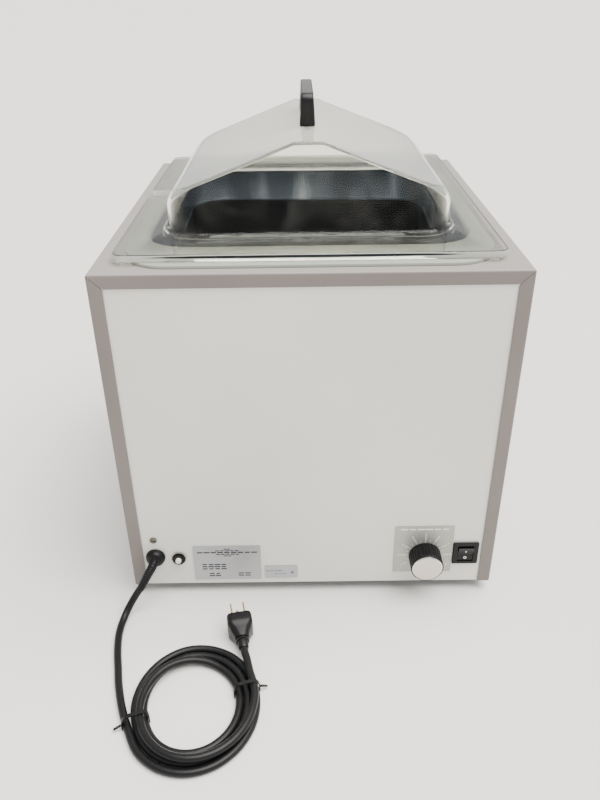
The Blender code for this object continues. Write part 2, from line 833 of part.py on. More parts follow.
def make_insulation():
    """A glass-wool jacket round the tank's walls and a pad under its floor."""
    inner_width = OPENING_WIDTH - 2 * LIP_RADIUS + 2 * JACKET_INNER
    inner_depth = OPENING_DEPTH - 2 * LIP_RADIUS + 2 * JACKET_INNER
    inner_radius = OPENING_RADIUS + JACKET_INNER - LIP_RADIUS
    high = TOP_Z - SHEET - JACKET_TOP_CLEARANCE
    outer = rounded_rectangle(
        inner_width + 2 * JACKET_THICKNESS,
        inner_depth + 2 * JACKET_THICKNESS,
        inner_radius + JACKET_THICKNESS,
    )
    jacket = slab("insulation_jacket", outer, PAD_Z, high - PAD_Z, GLASS_WOOL, place=(0, OPENING_Y))
    inner = rounded_rectangle(inner_width, inner_depth, inner_radius)
    cut(jacket, slab("jacket_hole", inner, PAD_Z - SHEET, TANK_DEPTH * 2, place=(0, OPENING_Y)))

    pad_outline = rounded_rectangle(
        inner_width - 2 * GAP, inner_depth - 2 * GAP, inner_radius - GAP
    )
    pad = slab("insulation_pad", pad_outline, PAD_Z, PAD_THICKNESS, GLASS_WOOL, place=(0, OPENING_Y))
    cut(pad, bulb_channel())
    heater_outline = rounded_rectangle(
        OPENING_WIDTH - 2 * HEATER_MARGIN - 2 * TANK_FLOOR_RADIUS,
        OPENING_DEPTH - 2 * HEATER_MARGIN,
        HEATER_MARGIN / 2,
        3,
    )
    slab("heater_mat", heater_outline, HEATER_Z, HEATER_THICKNESS, SILICONE, place=(0, OPENING_Y))


def bulb_x():
    """The sensing bulb lies beside the heater, under the tank's floor."""
    heater_edge = OPENING_WIDTH / 2 - HEATER_MARGIN - TANK_FLOOR_RADIUS
    return heater_edge + GAP + BULB_CHANNEL_WIDTH / 2


def bulb_channel():
    """The channel through the pad and heat shield for the thermostat's bulb and tube."""
    found = bpy.data.objects.get("bulb_channel")
    if found is None:
        half = BULB_CHANNEL_WIDTH / 2
        found = box(
            "bulb_channel",
            (bulb_x() - half, OPENING_Y - BULB_LENGTH, SHIELD_Z - SHIELD_FLANGE),
            (bulb_x() + half, OPENING_Y + BULB_LENGTH / 2 + half, HEATER_Z + PAD_THICKNESS),
        )
    return found


def make_heat_shield():
    """The sheet across the casing that carries the insulation above the wiring."""
    half = WIDTH / 2 - SHEET - GAP
    front = PANEL_Y + SHEET + GAP
    bm = bmesh.new()
    bmesh.ops.create_cube(bm, size=1.0)
    for vert in bm.verts:
        vert.co.x *= 2 * half
        vert.co.y = front if vert.co.y < 0 else rear_panel_y() - GAP
        vert.co.z = SHIELD_Z - SHIELD_FLANGE if vert.co.z < 0 else SHIELD_Z + SHEET
    unwanted = [face for face in bm.faces if face.normal.z < -0.5 or abs(face.normal.y) > 0.5]
    bmesh.ops.delete(bm, geom=unwanted, context="FACES")
    shield = add("heat_shield", finish_mesh(bm, "heat_shield", False), ZINC)
    thicken = shield.modifiers.new("sheet", "SOLIDIFY")
    thicken.thickness = SHEET
    thicken.offset = -1.0
    thicken.use_even_offset = True
    cut(shield, bulb_channel())


def make_shelf():
    """The loose perforated shelf that keeps vessels off the tank's floor."""
    edge = LIP_RADIUS + TANK_DRAFT + TANK_FLOOR_RADIUS + SHELF_CLEARANCE
    half_x = OPENING_WIDTH / 2 - edge
    half_y = OPENING_DEPTH / 2 - edge - OPENING_RADIUS / 3
    top = FLOOR_Z + GAP + SHELF_LEG
    bm = bmesh.new()
    bmesh.ops.create_cube(bm, size=1.0)
    for vert in bm.verts:
        vert.co.x *= 2 * half_x
        vert.co.y = OPENING_Y + vert.co.y * 2 * half_y
        vert.co.z = top - SHELF_LEG if vert.co.z < 0 else top
    unwanted = [face for face in bm.faces if face.normal.z < -0.5 or abs(face.normal.y) > 0.5]
    bmesh.ops.delete(bm, geom=unwanted, context="FACES")
    shelf = add("diffuser_shelf", finish_mesh(bm, "diffuser_shelf", False), STAINLESS)
    thicken = shelf.modifiers.new("sheet", "SOLIDIFY")
    thicken.thickness = SHELF_SHEET
    thicken.offset = -1.0
    thicken.use_even_offset = True
    for column in range(SHELF_COLUMNS):
        for row in range(SHELF_ROWS):
            x = half_x * (2 * column + 1 - SHELF_COLUMNS) / SHELF_COLUMNS
            y = OPENING_Y + half_y * (2 * row + 1 - SHELF_ROWS) / SHELF_ROWS
            hole = rod(
                "shelf_hole_%d_%d" % (column, row),
                (x, y, top - 3 * SHELF_SHEET),
                (x, y, top + 2 * SHELF_SHEET),
                SHELF_HOLE_RADIUS,
                sides=10,
            )
            cut(shelf, hole)


# Cover


def roof_height(x, inset):
    """Height of the roof, which slopes down either side of a flat ridge."""
    fall = max(abs(x) - RIDGE_HALF_WIDTH, 0.0) * math.tan(ROOF_SLOPE)
    return RIDGE_Z - inset - fall


def dome_outline(inset, corner_steps=5):
    """Points round the dome's foot, with the way each faces. Four lie at the ridge's edges."""
    half_x = DOME_WIDTH / 2 - inset
    half_y = (DOME_REAR_Y - DOME_FRONT_Y) / 2 - inset
    radius = DOME_CORNER_RADIUS - inset
    ridge = RIDGE_HALF_WIDTH * (1 - 1e-4)
    points = []
    for quarter in range(4):
        side_x = 1 if quarter in (0, 3) else -1
        side_y = 1 if quarter in (0, 1) else -1
        for step in range(corner_steps + 1):
            angle = math.pi / 2 * (quarter + step / corner_steps)
            out = Vector((math.cos(angle), math.sin(angle)))
            centre = Vector((side_x * (half_x - radius), side_y * (half_y - radius)))
            points.append((centre + radius * out, out))
        if quarter in (0, 2):
            out = Vector((0, side_y))
            points.append((Vector((side_y * ridge, side_y * half_y)), out))
            points.append((Vector((-side_y * ridge, side_y * half_y)), out))
    return points


def dome_ring(inset, turn, gather=0.0, foot_z=None):
    """One ring round the dome: turn runs over the rounded edge, gather over the roof."""
    ring = []
    for place, out in dome_outline(inset):
        edge = ROOF_EDGE_RADIUS + (EAVE_RADIUS - ROOF_EDGE_RADIUS) * out.x**2
        edge = max(edge - inset * 0.6, 0.001)
        place = place - out * edge * (1 - math.cos(turn))
        near = max(-RIDGE_HALF_WIDTH, min(RIDGE_HALF_WIDTH, place.x))
        place.x += (near - place.x) * gather
        height = roof_height(place.x, inset) - edge * (1 - math.sin(turn))
        if foot_z is not None:
            height = foot_z
        rise = (height - COVER_TOP_Z) / RIDGE_RISE
        place.x -= out.x * DOME_SIDE_DRAFT * rise
        place.y -= out.y * DOME_END_DRAFT * rise
        ring.append((place.x, DOME_Y + place.y, height))
    return ring


def dome_solid(name, inset, foot_z, finish=None):
    """The dome as a closed solid, moved in all round by inset, from foot_z to the ridge."""
    rings = [dome_ring(inset, 0.0, foot_z=foot_z)]
    for share in (0.0, 0.3, 0.65, 1.0):
        rings.append(dome_ring(inset, math.pi / 2 * share))
    for gather in (0.5, 0.999):
        rings.append(dome_ring(inset, math.pi / 2, gather))
    return loft(name, rings, finish)


def make_cover():
    """The clear cover: a flat plate formed up into a gable dome, with a notch for leads."""
    depth = COVER_REAR_Y - COVER_FRONT_Y
    middle = (COVER_REAR_Y + COVER_FRONT_Y) / 2
    outline = rounded_rectangle(COVER_WIDTH, depth, COVER_CORNER_RADIUS, 4)
    cover = slab("gable_cover", outline, COVER_Z, COVER_SHEET, CLEAR_SHEET, place=(0, middle))
    cover.data.materials.clear()
    cover.data.materials.append(material("gable_cover", *CLEAR_SHEET))
    outer = dome_solid("dome_outside", 0.0, COVER_Z + COVER_SHEET / 2)
    inner = dome_solid("dome_inside", DOME_WALL, COVER_Z - COVER_SHEET)
    join(cover, outer)
    cut(cover, inner)
    notch_y = FRONT_Y + NOTCH_FROM_FRONT + NOTCH_WIDTH / 2
    notch = box(
        "plate_notch",
        (-COVER_WIDTH, notch_y - NOTCH_WIDTH / 2, COVER_Z - COVER_SHEET),
        (-COVER_WIDTH / 2 + NOTCH_LENGTH, notch_y + NOTCH_WIDTH / 2, COVER_Z + 2 * COVER_SHEET),
    )
    cut(cover, notch)
    for name, y in handle_feet():
        hole = rod(
            name + "_cover_hole",
            (0.0, y, RIDGE_Z - 3 * DOME_WALL),
            (0.0, y, RIDGE_Z + DOME_WALL),
            SCREW_RADIUS + HOLE_CLEARANCE,
            sides=SMALL_ROUND,
        )
        cut(cover, hole)


def handle_feet():
    reach = HANDLE_LENGTH / 2 - HANDLE_LEG / 2
    return (("handle_screw_front", DOME_Y - reach), ("handle_screw_rear", DOME_Y + reach))


def make_handle():
    """The bow handle along the ridge, held by two screws from inside the dome."""
    half = HANDLE_LENGTH / 2
    foot = RIDGE_Z + GAP
    top = foot + HANDLE_HEIGHT
    sections = []
    corner = HANDLE_CORNER
    lean = 0.003
    outer = [(-half, foot), (-half + lean * 0.5, foot + HANDLE_HEIGHT - corner)]
    for step in range(1, 4):
        angle = math.pi - math.pi / 2 * step / 3
        outer.append(
            (
                -half + lean + corner + corner * math.cos(angle),
                top - corner + corner * math.sin(angle),
            )
        )
    inner_corner = corner * 0.6
    gap_top = top - HANDLE_BAR
    inner = [(-half + HANDLE_LEG, foot), (-half + HANDLE_LEG, gap_top - inner_corner)]
    for step in range(1, 4):
        angle = math.pi - math.pi / 2 * step / 3
        inner.append(
            (
                -half + HANDLE_LEG + inner_corner + inner_corner * math.cos(angle),
                gap_top - inner_corner + inner_corner * math.sin(angle),
            )
        )
    for before, after in ((outer, inner),):
        mirrored_outer = [(-y, z) for y, z in reversed(before)]
        mirrored_inner = [(-y, z) for y, z in after]
        sections = before + mirrored_outer + mirrored_inner + list(reversed(after))
    curve = bpy.data.curves.new("cover_handle", "CURVE")
    curve.dimensions = "2D"
    curve.fill_mode = "BOTH"
    curve.extrude = HANDLE_FOOT_WIDTH / 2
    spline = curve.splines.new("POLY")
    spline.points.add(len(sections) - 1)
    for point, (y, z) in zip(spline.points, sections):
        point.co = (y, z, 0.0, 1.0)
    spline.use_cyclic_u = True
    handle = add("cover_handle", curve, BLACK_PLASTIC)
    stand = Matrix(((0, 0, 1, 0), (1, 0, 0, DOME_Y), (0, 1, 0, 0), (0, 0, 0, 1)))
    handle = as_mesh(handle, stand)
    narrow = HANDLE_WIDTH / HANDLE_FOOT_WIDTH
    for vert in handle.data.vertices:
        share = (vert.co.z - foot) / HANDLE_HEIGHT
        vert.co.x *= 1 + (narrow - 1) * min(1.0, share * 1.6)
    round_edges(handle, 0.0012)
    for name, y in handle_feet():
        pilot = rod(
            name + "_pilot",
            (0.0, y, foot - GAP),
            (0.0, y, foot + HANDLE_SCREW_DEPTH + GAP),
            SCREW_RADIUS + HOLE_CLEARANCE,
            sides=SMALL_ROUND,
        )
        cut(handle, pilot)
        seat = Vector((0.0, y, RIDGE_Z - DOME_WALL - GAP))
        length = DOME_WALL + 2 * GAP + HANDLE_SCREW_DEPTH
        screw(name, seat, (0, 0, -1), length, NICKEL)


# Thermostat and knob


def make_thermostat():
    """The hydraulic thermostat behind the panel, with its bushing through panel and plate."""
    width, depth, height = THERMOSTAT_SIZE
    back = panel_point(KNOB_PLACE, -SHEET - GAP)
    body = box(
        "thermostat_body",
        (back.x - width / 2, back.y, back.z - height / 2),
        (back.x + width / 2, back.y + depth, back.z + height / 2),
        ZINC,
    )
    round_edges(body, 0.002)
    stand = SCALE_PLATE_THICKNESS + 2 * GAP + BUSHING_NUT_THICKNESS
    bushing = rod(
        "bushing",
        panel_point(KNOB_PLACE, -SHEET - 0.003),
        panel_point(KNOB_PLACE, stand),
        BUSHING_RADIUS,
    )
    join(body, bushing)
    bore = rod(
        "bushing_bore",
        panel_point(KNOB_PLACE, -SHEET - 0.012),
        panel_point(KNOB_PLACE, 2 * stand),
        SHAFT_RADIUS + RUNNING_CLEARANCE,
    )
    cut(body, bore)
    nut = rod(
        "bushing_nut",
        panel_point(KNOB_PLACE, SCALE_PLATE_THICKNESS + 2 * GAP),
        panel_point(KNOB_PLACE, SCALE_PLATE_THICKNESS + 2 * GAP + BUSHING_NUT_THICKNESS),
        BUSHING_NUT_RADIUS,
        NICKEL,
        sides=6,
    )
    nut_hole = rod(
        "bushing_nut_hole",
        panel_point(KNOB_PLACE, 0.0),
        panel_point(KNOB_PLACE, 4 * stand),
        BUSHING_RADIUS + GAP,
    )
    cut(nut, nut_hole)
    start = panel_point(KNOB_PLACE, -SHEET - 0.011)
    end = panel_point(KNOB_PLACE, KNOB_STAND + SHAFT_GRIP)
    rod("thermostat_shaft", start, end, SHAFT_RADIUS, NICKEL, sides=ROUND)
    make_bulb(back, depth)


def make_bulb(back, depth):
    """The sensing bulb and its fine tube, as one piece."""
    low = FLOOR_Z - TANK_SHEET - GAP - BULB_RADIUS - GAP
    half = BULB_LENGTH / 2
    bulb = rod(
        "bulb_and_capillary",
        (bulb_x(), OPENING_Y - half, low),
        (bulb_x(), OPENING_Y + half, low),
        BULB_RADIUS,
        COPPER,
        sides=12,
    )
    start = Vector((back.x, back.y + depth + GAP, back.z))
    route = smooth_route(
        (
            start,
            start + Vector((0.0, 0.012, 0.0)),
            start + Vector((-0.004, 0.035, 0.020)),
            (bulb_x(), OPENING_Y - BULB_LENGTH + 0.012, SHIELD_Z - 0.030),
            (bulb_x(), OPENING_Y - BULB_LENGTH + 0.012, SHIELD_Z + SHEET / 2),
            (bulb_x(), OPENING_Y - half - 0.018, low - 0.006),
            (bulb_x(), OPENING_Y - half - 0.004, low),
            (bulb_x(), OPENING_Y - half + 0.004, low),
        ),
        0.010,
    )
    capillary = as_mesh(tube("capillary", route, CAPILLARY_RADIUS, None, sides_level=1))
    join(bulb, capillary)


def make_scale_plate():
    across = SCALE_PLATE_SIZE[0]
    up = SCALE_PLATE_SIZE[1]
    place = (SCALE_PLATE_LOW[0] + across / 2, BOTTOM_Z + SCALE_PLATE_LOW[1] + up / 2)
    plate = slab(
        "scale_plate",
        rounded_rectangle(across, up, 0.001, 2),
        PANEL_Y - GAP,
        SCALE_PLATE_THICKNESS,
        PRINTED_PLATE,
        upright=True,
        place=place,
    )
    hole = rod(
        "scale_plate_hole",
        panel_point(KNOB_PLACE, -SHEET),
        panel_point(KNOB_PLACE, 4 * SHEET),
        BUSHING_RADIUS + HOLE_CLEARANCE,
    )
    cut(plate, hole)


def make_knob():
    """The fluted knob, the brushed cap let into its face and the grub screw in its side."""
    base = panel_point(KNOB_PLACE, KNOB_STAND)
    face = panel_point(KNOB_PLACE, KNOB_STAND + KNOB_LENGTH)
    bm = bmesh.new()
    rings = []
    steps = 3
    count = KNOB_FLUTES * steps
    for out, taper in ((0.0, 0.0), (KNOB_LENGTH - 0.0008, 0.0005), (KNOB_LENGTH, 0.0012)):
        ring = []
        for number in range(count):
            angle = 2 * math.pi * number / count
            radius = KNOB_RADIUS - taper
            if number % steps == 0:
                radius -= KNOB_FLUTE_DEPTH
            ring.append(
                bm.verts.new(
                    (
                        base.x + radius * math.cos(angle),
                        base.y - out,
                        base.z + radius * math.sin(angle),
                    )
                )
            )
        rings.append(ring)
    for near, far in zip(rings, rings[1:]):
        for i in range(count):
            j = (i + 1) % count
            bm.faces.new((near[i], near[j], far[j], far[i]))
    bm.faces.new(rings[0])
    bm.faces.new(reversed(rings[-1]))
    knob = add("knob_body", finish_mesh(bm, "knob_body"), BLACK_PLASTIC)
    cap_seat = rod(
        "cap_seat",
        face + Vector((0, -KNOB_CAP_DEPTH, 0)),
        face + Vector((0, KNOB_CAP_DEPTH, 0)),
        KNOB_CAP_RADIUS + GAP,
    )
    nut_recess = rod(
        "nut_recess",
        base + Vector((0, KNOB_CLEARANCE, 0)),
        base - Vector((0, BUSHING_NUT_THICKNESS + KNOB_CLEARANCE, 0)),
        BUSHING_NUT_RADIUS + KNOB_CLEARANCE,
    )
    bore = rod(
        "knob_bore",
        base + Vector((0, KNOB_CLEARANCE, 0)),
        base - Vector((0, SHAFT_GRIP + GAP, 0)),
        SHAFT_RADIUS + GAP,
    )
    screw_y = base.y - SHAFT_GRIP * 0.65
    screw_hole = rod(
        "set_screw_hole",
        (base.x, screw_y, base.z - SHAFT_RADIUS),
        (base.x, screw_y, base.z - 2 * KNOB_RADIUS),
        SCREW_RADIUS + GAP,
        sides=SMALL_ROUND,
    )
    cut(knob, cap_seat, nut_recess, bore, screw_hole)
    set_screw = rod(
        "knob_set_screw",
        (base.x, screw_y, base.z - SHAFT_RADIUS - GAP),
        (base.x, screw_y, base.z - SHAFT_RADIUS - GAP - 0.006),
        SCREW_RADIUS,
        ZINC,
        sides=SMALL_ROUND,
    )
    socket = rod(
        "set_screw_socket",
        (base.x, screw_y, base.z - SHAFT_RADIUS - GAP - 0.0045),
        (base.x, screw_y, base.z - 2 * KNOB_RADIUS),
        SCREW_RADIUS * 0.55,
        sides=6,
    )
    cut(set_screw, socket)
    cap_profile = (
        (0.0, KNOB_CAP_DEPTH),
        (KNOB_CAP_RADIUS - 0.0008, KNOB_CAP_DEPTH),
        (KNOB_CAP_RADIUS, KNOB_CAP_DEPTH - 0.0005),
        (KNOB_CAP_RADIUS, GAP),
        (0.0, GAP),
    )
    seat = face + Vector((0, KNOB_CAP_DEPTH, 0))
    turned("knob_cap", cap_profile, seat, (0, -1, 0), BRUSHED_ALUMINIUM, 48)


# Switch and circuit breaker


def switch_centre():
    return panel_point(
        (SWITCH_LOW[0] + SWITCH_SIZE[0] / 2, SWITCH_LOW[1] + SWITCH_SIZE[1] / 2)
    )


def make_switch():
    """The snap-in switch housing and the rocker that tips on its two trunnions."""
    centre = switch_centre()
    bezel_back = PANEL_Y - GAP
    face = bezel_back - SWITCH_PROUD
    housing = box(
        "switch_housing",
        (centre.x - SWITCH_SIZE[0] / 2, face, centre.z - SWITCH_SIZE[1] / 2),
        (centre.x + SWITCH_SIZE[0] / 2, bezel_back, centre.z + SWITCH_SIZE[1] / 2),
        BLACK_PLASTIC,
    )
    round_edges(housing, 0.0006, 1)
    body = box(
        "switch_body",
        (
            centre.x - SWITCH_BODY_SIZE[0] / 2,
            bezel_back - SWITCH_PROUD / 2,
            centre.z - SWITCH_BODY_SIZE[1] / 2,
        ),
        (
            centre.x + SWITCH_BODY_SIZE[0] / 2,
            bezel_back + SWITCH_BODY_DEPTH,
            centre.z + SWITCH_BODY_SIZE[1] / 2,
        ),
    )
    join(housing, body)
    well = box(
        "switch_well",
        (
            centre.x - SWITCH_WINDOW[0] / 2,
            face - SHEET,
            centre.z - SWITCH_WINDOW[1] / 2,
        ),
        (
            centre.x + SWITCH_WINDOW[0] / 2,
            face + SWITCH_WELL_DEPTH,
            centre.z + SWITCH_WINDOW[1] / 2,
        ),
    )
    reach = SWITCH_WINDOW[0] / 2 + TRUNNION_LENGTH
    pivot = rocker_pivot()
    socket = rod(
        "trunnion_socket",
        pivot - Vector((reach, 0, 0)),
        pivot + Vector((reach, 0, 0)),
        TRUNNION_RADIUS + RUNNING_CLEARANCE * 2,
        sides=SMALL_ROUND,
    )
    cut(housing, well, socket)
    make_rocker(pivot)


def rocker_pivot():
    return switch_centre() + Vector((0, ROCKER_PIVOT_DEPTH, 0))


def make_rocker(pivot):
    """The rocker at rest: its lower half is pressed in, level with the panel."""
    tilt = ROCKER_SWING / 2
    valley = -ROCKER_RISE
    room = SWITCH_WINDOW[1] / 2 - ROCKER_CLEARANCE - ROCKER_RISE * math.sin(tilt)
    half_height = room * math.cos(tilt)
    end = valley - half_height * math.tan(tilt)
    profile = [
        (0.0, valley),
        (half_height - 0.0006, end),
        (half_height, end + 0.0012),
        (half_height - 0.0008, -0.0008),
        (0.0, 0.0024),
    ]
    outline = profile + [(-along, out) for along, out in reversed(profile[1:-1])]
    curve = bpy.data.curves.new("switch_rocker", "CURVE")
    curve.dimensions = "2D"
    curve.fill_mode = "BOTH"
    curve.extrude = SWITCH_WINDOW[0] / 2 - ROCKER_CLEARANCE
    spline = curve.splines.new("POLY")
    spline.points.add(len(outline) - 1)
    for point, (along, out) in zip(spline.points, outline):
        point.co = (out, along, 0.0, 1.0)
    spline.use_cyclic_u = True
    rocker = add("switch_rocker", curve, BLACK_PLASTIC)
    upright = Matrix(((0, 0, 1, 0), (1, 0, 0, 0), (0, 1, 0, 0), (0, 0, 0, 1)))
    tipped = Matrix.Rotation(tilt, 4, "X")
    rocker = as_mesh(rocker, Matrix.Translation(pivot) @ tipped @ upright)
    reach = SWITCH_WINDOW[0] / 2 + TRUNNION_LENGTH - GAP
    trunnions = rod(
        "trunnions",
        pivot - Vector((reach, 0, 0)),
        pivot + Vector((reach, 0, 0)),
        TRUNNION_RADIUS,
        sides=SMALL_ROUND,
    )
    join(rocker, trunnions)


def make_breaker():
    """The push-to-reset circuit breaker: body, bright nut and sprung button."""
    width, depth, height = BREAKER_BODY_SIZE
    back = panel_point(BREAKER_PLACE, -SHEET - GAP)
    body = box(
        "breaker_body",
        (back.x - width / 2, back.y, back.z - height / 2),
        (back.x + width / 2, back.y + depth, back.z + height / 2),
        BLACK_PLASTIC,
    )
    bushing = rod(
        "breaker_bushing",
        panel_point(BREAKER_PLACE, -SHEET - 0.003),
        panel_point(BREAKER_PLACE, BREAKER_PROUD),
        BREAKER_RADIUS,
        end_radius=BREAKER_RADIUS - 0.0006,
    )
    join(body, bushing)
    bore = rod(
        "breaker_bore",
        panel_point(BREAKER_PLACE, -SHEET - 0.010),
        panel_point(BREAKER_PLACE, 3 * BREAKER_PROUD),
        BUTTON_RADIUS + 2 * RUNNING_CLEARANCE,
        sides=24,
    )
    cut(body, bore)
    nut = rod(
        "breaker_nut",
        panel_point(BREAKER_PLACE, GAP),
        panel_point(BREAKER_PLACE, GAP + BREAKER_NUT_THICKNESS),
        BREAKER_NUT_RADIUS,
        NICKEL,
    )
    nut_hole = rod(
        "breaker_nut_hole",
        panel_point(BREAKER_PLACE, -SHEET),
        panel_point(BREAKER_PLACE, 4 * SHEET),
        BREAKER_RADIUS + GAP,
    )
    cut(nut, nut_hole)
    button_profile = (
        (0.0, BREAKER_PROUD + BUTTON_PROUD),
        (BUTTON_RADIUS - 0.0007, BREAKER_PROUD + BUTTON_PROUD),
        (BUTTON_RADIUS, BREAKER_PROUD + BUTTON_PROUD - 0.0006),
        (BUTTON_RADIUS, -SHEET - 0.010 + BUTTON_TRAVEL + GAP),
        (0.0, -SHEET - 0.010 + BUTTON_TRAVEL + GAP),
    )
    turned("breaker_button", button_profile, panel_point(BREAKER_PLACE), (0, -1, 0), WHITE_PLASTIC, 24)


def make_labels():
    for name, low, size in (
        ("nameplate", NAMEPLATE_LOW, NAMEPLATE_SIZE),
        ("rating_label", LABEL_LOW, LABEL_SIZE),
    ):
        place = (low[0] + size[0] / 2, BOTTOM_Z + low[1] + size[1] / 2)
        slab(
            name,
            rounded_rectangle(size[0], size[1], 0.0018, 3),
            PANEL_Y - GAP,
            LABEL_THICKNESS,
            PRINTED_PLATE,
            upright=True,
            place=place,
        )


# Cord, plug and wiring


def make_strain_relief():
    """The gland in the panel and its tapering sleeve, moulded as one elbow."""
    head_out = GLAND_PROUD
    profile = (
        (0.0, head_out),
        (GLAND_RADIUS * 0.72, head_out),
        (GLAND_RADIUS * 0.94, head_out - 0.0015),
        (GLAND_RADIUS, head_out - 0.0035),
        (GLAND_RADIUS, GAP),
        (GLAND_NECK_RADIUS, GAP),
        (GLAND_NECK_RADIUS, -GLAND_TAIL),
        (0.0, -GLAND_TAIL),
    )
    gland = turned("strain_relief", profile, panel_point(GLAND_PLACE), (0, -1, 0), BLACK_RUBBER, 28)
    route = smooth_route([route_point(point) for point in SLEEVE_ROUTE], 0.004)
    sleeve = tube("sleeve", route, SLEEVE_RADIUS, None, SLEEVE_TIP_RADIUS, sides_level=3)
    join(gland, as_mesh(sleeve))


def trimmed(points, gap_start=0.0, gap_end=0.0):
    """A route with its ends moved in, to leave the gap to what it meets."""
    points = list(points)
    if gap_start:
        points[0] += (points[1] - points[0]).normalized() * gap_start
    if gap_end:
        points[-1] += (points[-2] - points[-1]).normalized() * gap_end
    return points


def make_cord():
    """The cord's lead, its coil on the bench and the tail that runs to the plug."""
    lead = smooth_route([route_point(point) for point in LEAD_ROUTE], CORD_POINT_SPACING)
    tube("cord_lead", trimmed(lead, GAP), CORD_RADIUS, CORD_JACKET)
    height = COIL_LAYERS * 2 * CORD_RADIUS
    profile = (
        (COIL_INNER_RADIUS, height),
        (COIL_OUTER_RADIUS - CORD_RADIUS / 2, height),
        (COIL_OUTER_RADIUS, height - CORD_RADIUS / 2),
        (COIL_OUTER_RADIUS, 0.0),
        (COIL_INNER_RADIUS, 0.0),
        (COIL_INNER_RADIUS, height),
    )
    coil = turned("cord_coil", profile, (0, 0, 0), (0, 0, 1), CORD_JACKET, 48)
    as_mesh(coil, coil_matrix())
    tail = smooth_route([route_point(point) for point in TAIL_ROUTE], CORD_POINT_SPACING / 3)
    tube("cord_tail", trimmed(tail, GAP), CORD_RADIUS, CORD_JACKET)
    make_ties(height)


def coil_matrix():
    """From a round coil at the origin to the oval one on the bench."""
    centre = Vector((COIL_CENTRE[0], FRONT_Y + COIL_CENTRE[1], 0.0))
    return Matrix.Translation(centre) @ Matrix.Diagonal((1.0, COIL_STRETCH, 1.0, 1.0))


def make_ties(height):
    """Two ties over the coil, each with its twisted ends sticking out."""
    inner = COIL_INNER_RADIUS - GAP
    outer = COIL_OUTER_RADIUS + GAP
    top = height + GAP
    wall = TIE_THICKNESS
    outline = (
        (inner - wall, GAP),
        (inner, GAP),
        (inner, top),
        (outer, top),
        (outer, GAP),
        (outer + wall, GAP),
        (outer + wall, height * 0.45),
        (outer + wall + TIE_END, height * 0.25),
        (outer + wall + TIE_END, height * 0.25 + 2 * wall),
        (outer + wall, height * 0.45 + 3 * wall),
        (outer + wall, top + wall),
        (inner - wall, top + wall),
    )
    for name, angle in zip(("cord_tie_left", "cord_tie_right"), TIE_ANGLES):
        curve = bpy.data.curves.new(name, "CURVE")
        curve.dimensions = "2D"
        curve.fill_mode = "BOTH"
        curve.extrude = TIE_WIDTH / 2
        spline = curve.splines.new("POLY")
        spline.points.add(len(outline) - 1)
        for point, (out, up) in zip(spline.points, outline):
            point.co = (out, up, 0.0, 1.0)
        spline.use_cyclic_u = True
        made = add(name, curve, BLACK_PLASTIC)
        stand = Matrix.Rotation(math.pi / 2, 4, "X")
        turn = Matrix.Rotation(angle, 4, "Z")
        as_mesh(made, coil_matrix() @ turn @ stand)


def plug_frame():
    """Matrix of the plug: its own +Y runs the way the blades point, its face at the origin."""
    face = Vector((PLUG_FACE[0], FRONT_Y + PLUG_FACE[1], 0.0))
    return Matrix.Translation(face) @ Matrix.Rotation(PLUG_TURN, 4, "Z")


def make_plug():
    """The moulded plug lying with its ground pin lowest, and its blades and pin."""
    middle = GAP + PLUG_HEIGHT / 2
    axis = PLUG_AXIS_HEIGHT
    waist = PLUG_WAIST_SIZE
    tip = 2 * (CORD_RADIUS + 0.0014)
    sections = (
        (0.0, PLUG_WIDTH, PLUG_HEIGHT, middle, 0.0045),
        (PLUG_SHOULDER, PLUG_WIDTH, PLUG_HEIGHT, middle, 0.0050),
        (PLUG_SHOULDER + 0.004, waist + 0.004, waist + 0.005, axis + 0.0005, 0.0055),
        (PLUG_WAIST, waist, waist, axis, 0.0060),
        (PLUG_WAIST + 0.001, tip + 0.002, tip + 0.002, axis, tip / 2),
        (PLUG_LENGTH, tip, tip, axis, tip / 2 - 0.0001),
    )
    frame = plug_frame()
    rings = []
    for back, width, height, centre, radius in sections:
        outline = rounded_rectangle(width, height, radius, 4)
        rings.append([frame @ Vector((x, -back, centre + z)) for x, z in outline])
    plug = loft("plug_body", rings, CORD_JACKET)
    blade_z = PIN_HEIGHT + BLADE_TO_PIN
    for name, side in (("plug_blade_line", -1), ("plug_blade_neutral", 1)):
        make_blade(name, frame, side * BLADE_SPACING / 2, blade_z, plug)
    pin_profile = (
        (0.0, PIN_LENGTH),
        (PIN_RADIUS * 0.5, PIN_LENGTH),
        (PIN_RADIUS, PIN_LENGTH - PIN_RADIUS),
        (PIN_RADIUS, -0.006),
        (0.0, -0.006),
    )
    way = (frame.to_3x3() @ Vector((0, 1, 0))).normalized()
    turned("plug_ground_pin", pin_profile, frame @ Vector((0, 0, PIN_HEIGHT)), way, BRASS, 16)
    socket = rod(
        "plug_pin_socket",
        frame @ Vector((0, 0.002, PIN_HEIGHT)),
        frame @ Vector((0, -0.006 - GAP, PIN_HEIGHT)),
        PIN_RADIUS + GAP,
        sides=16,
    )
    cut(plug, socket)


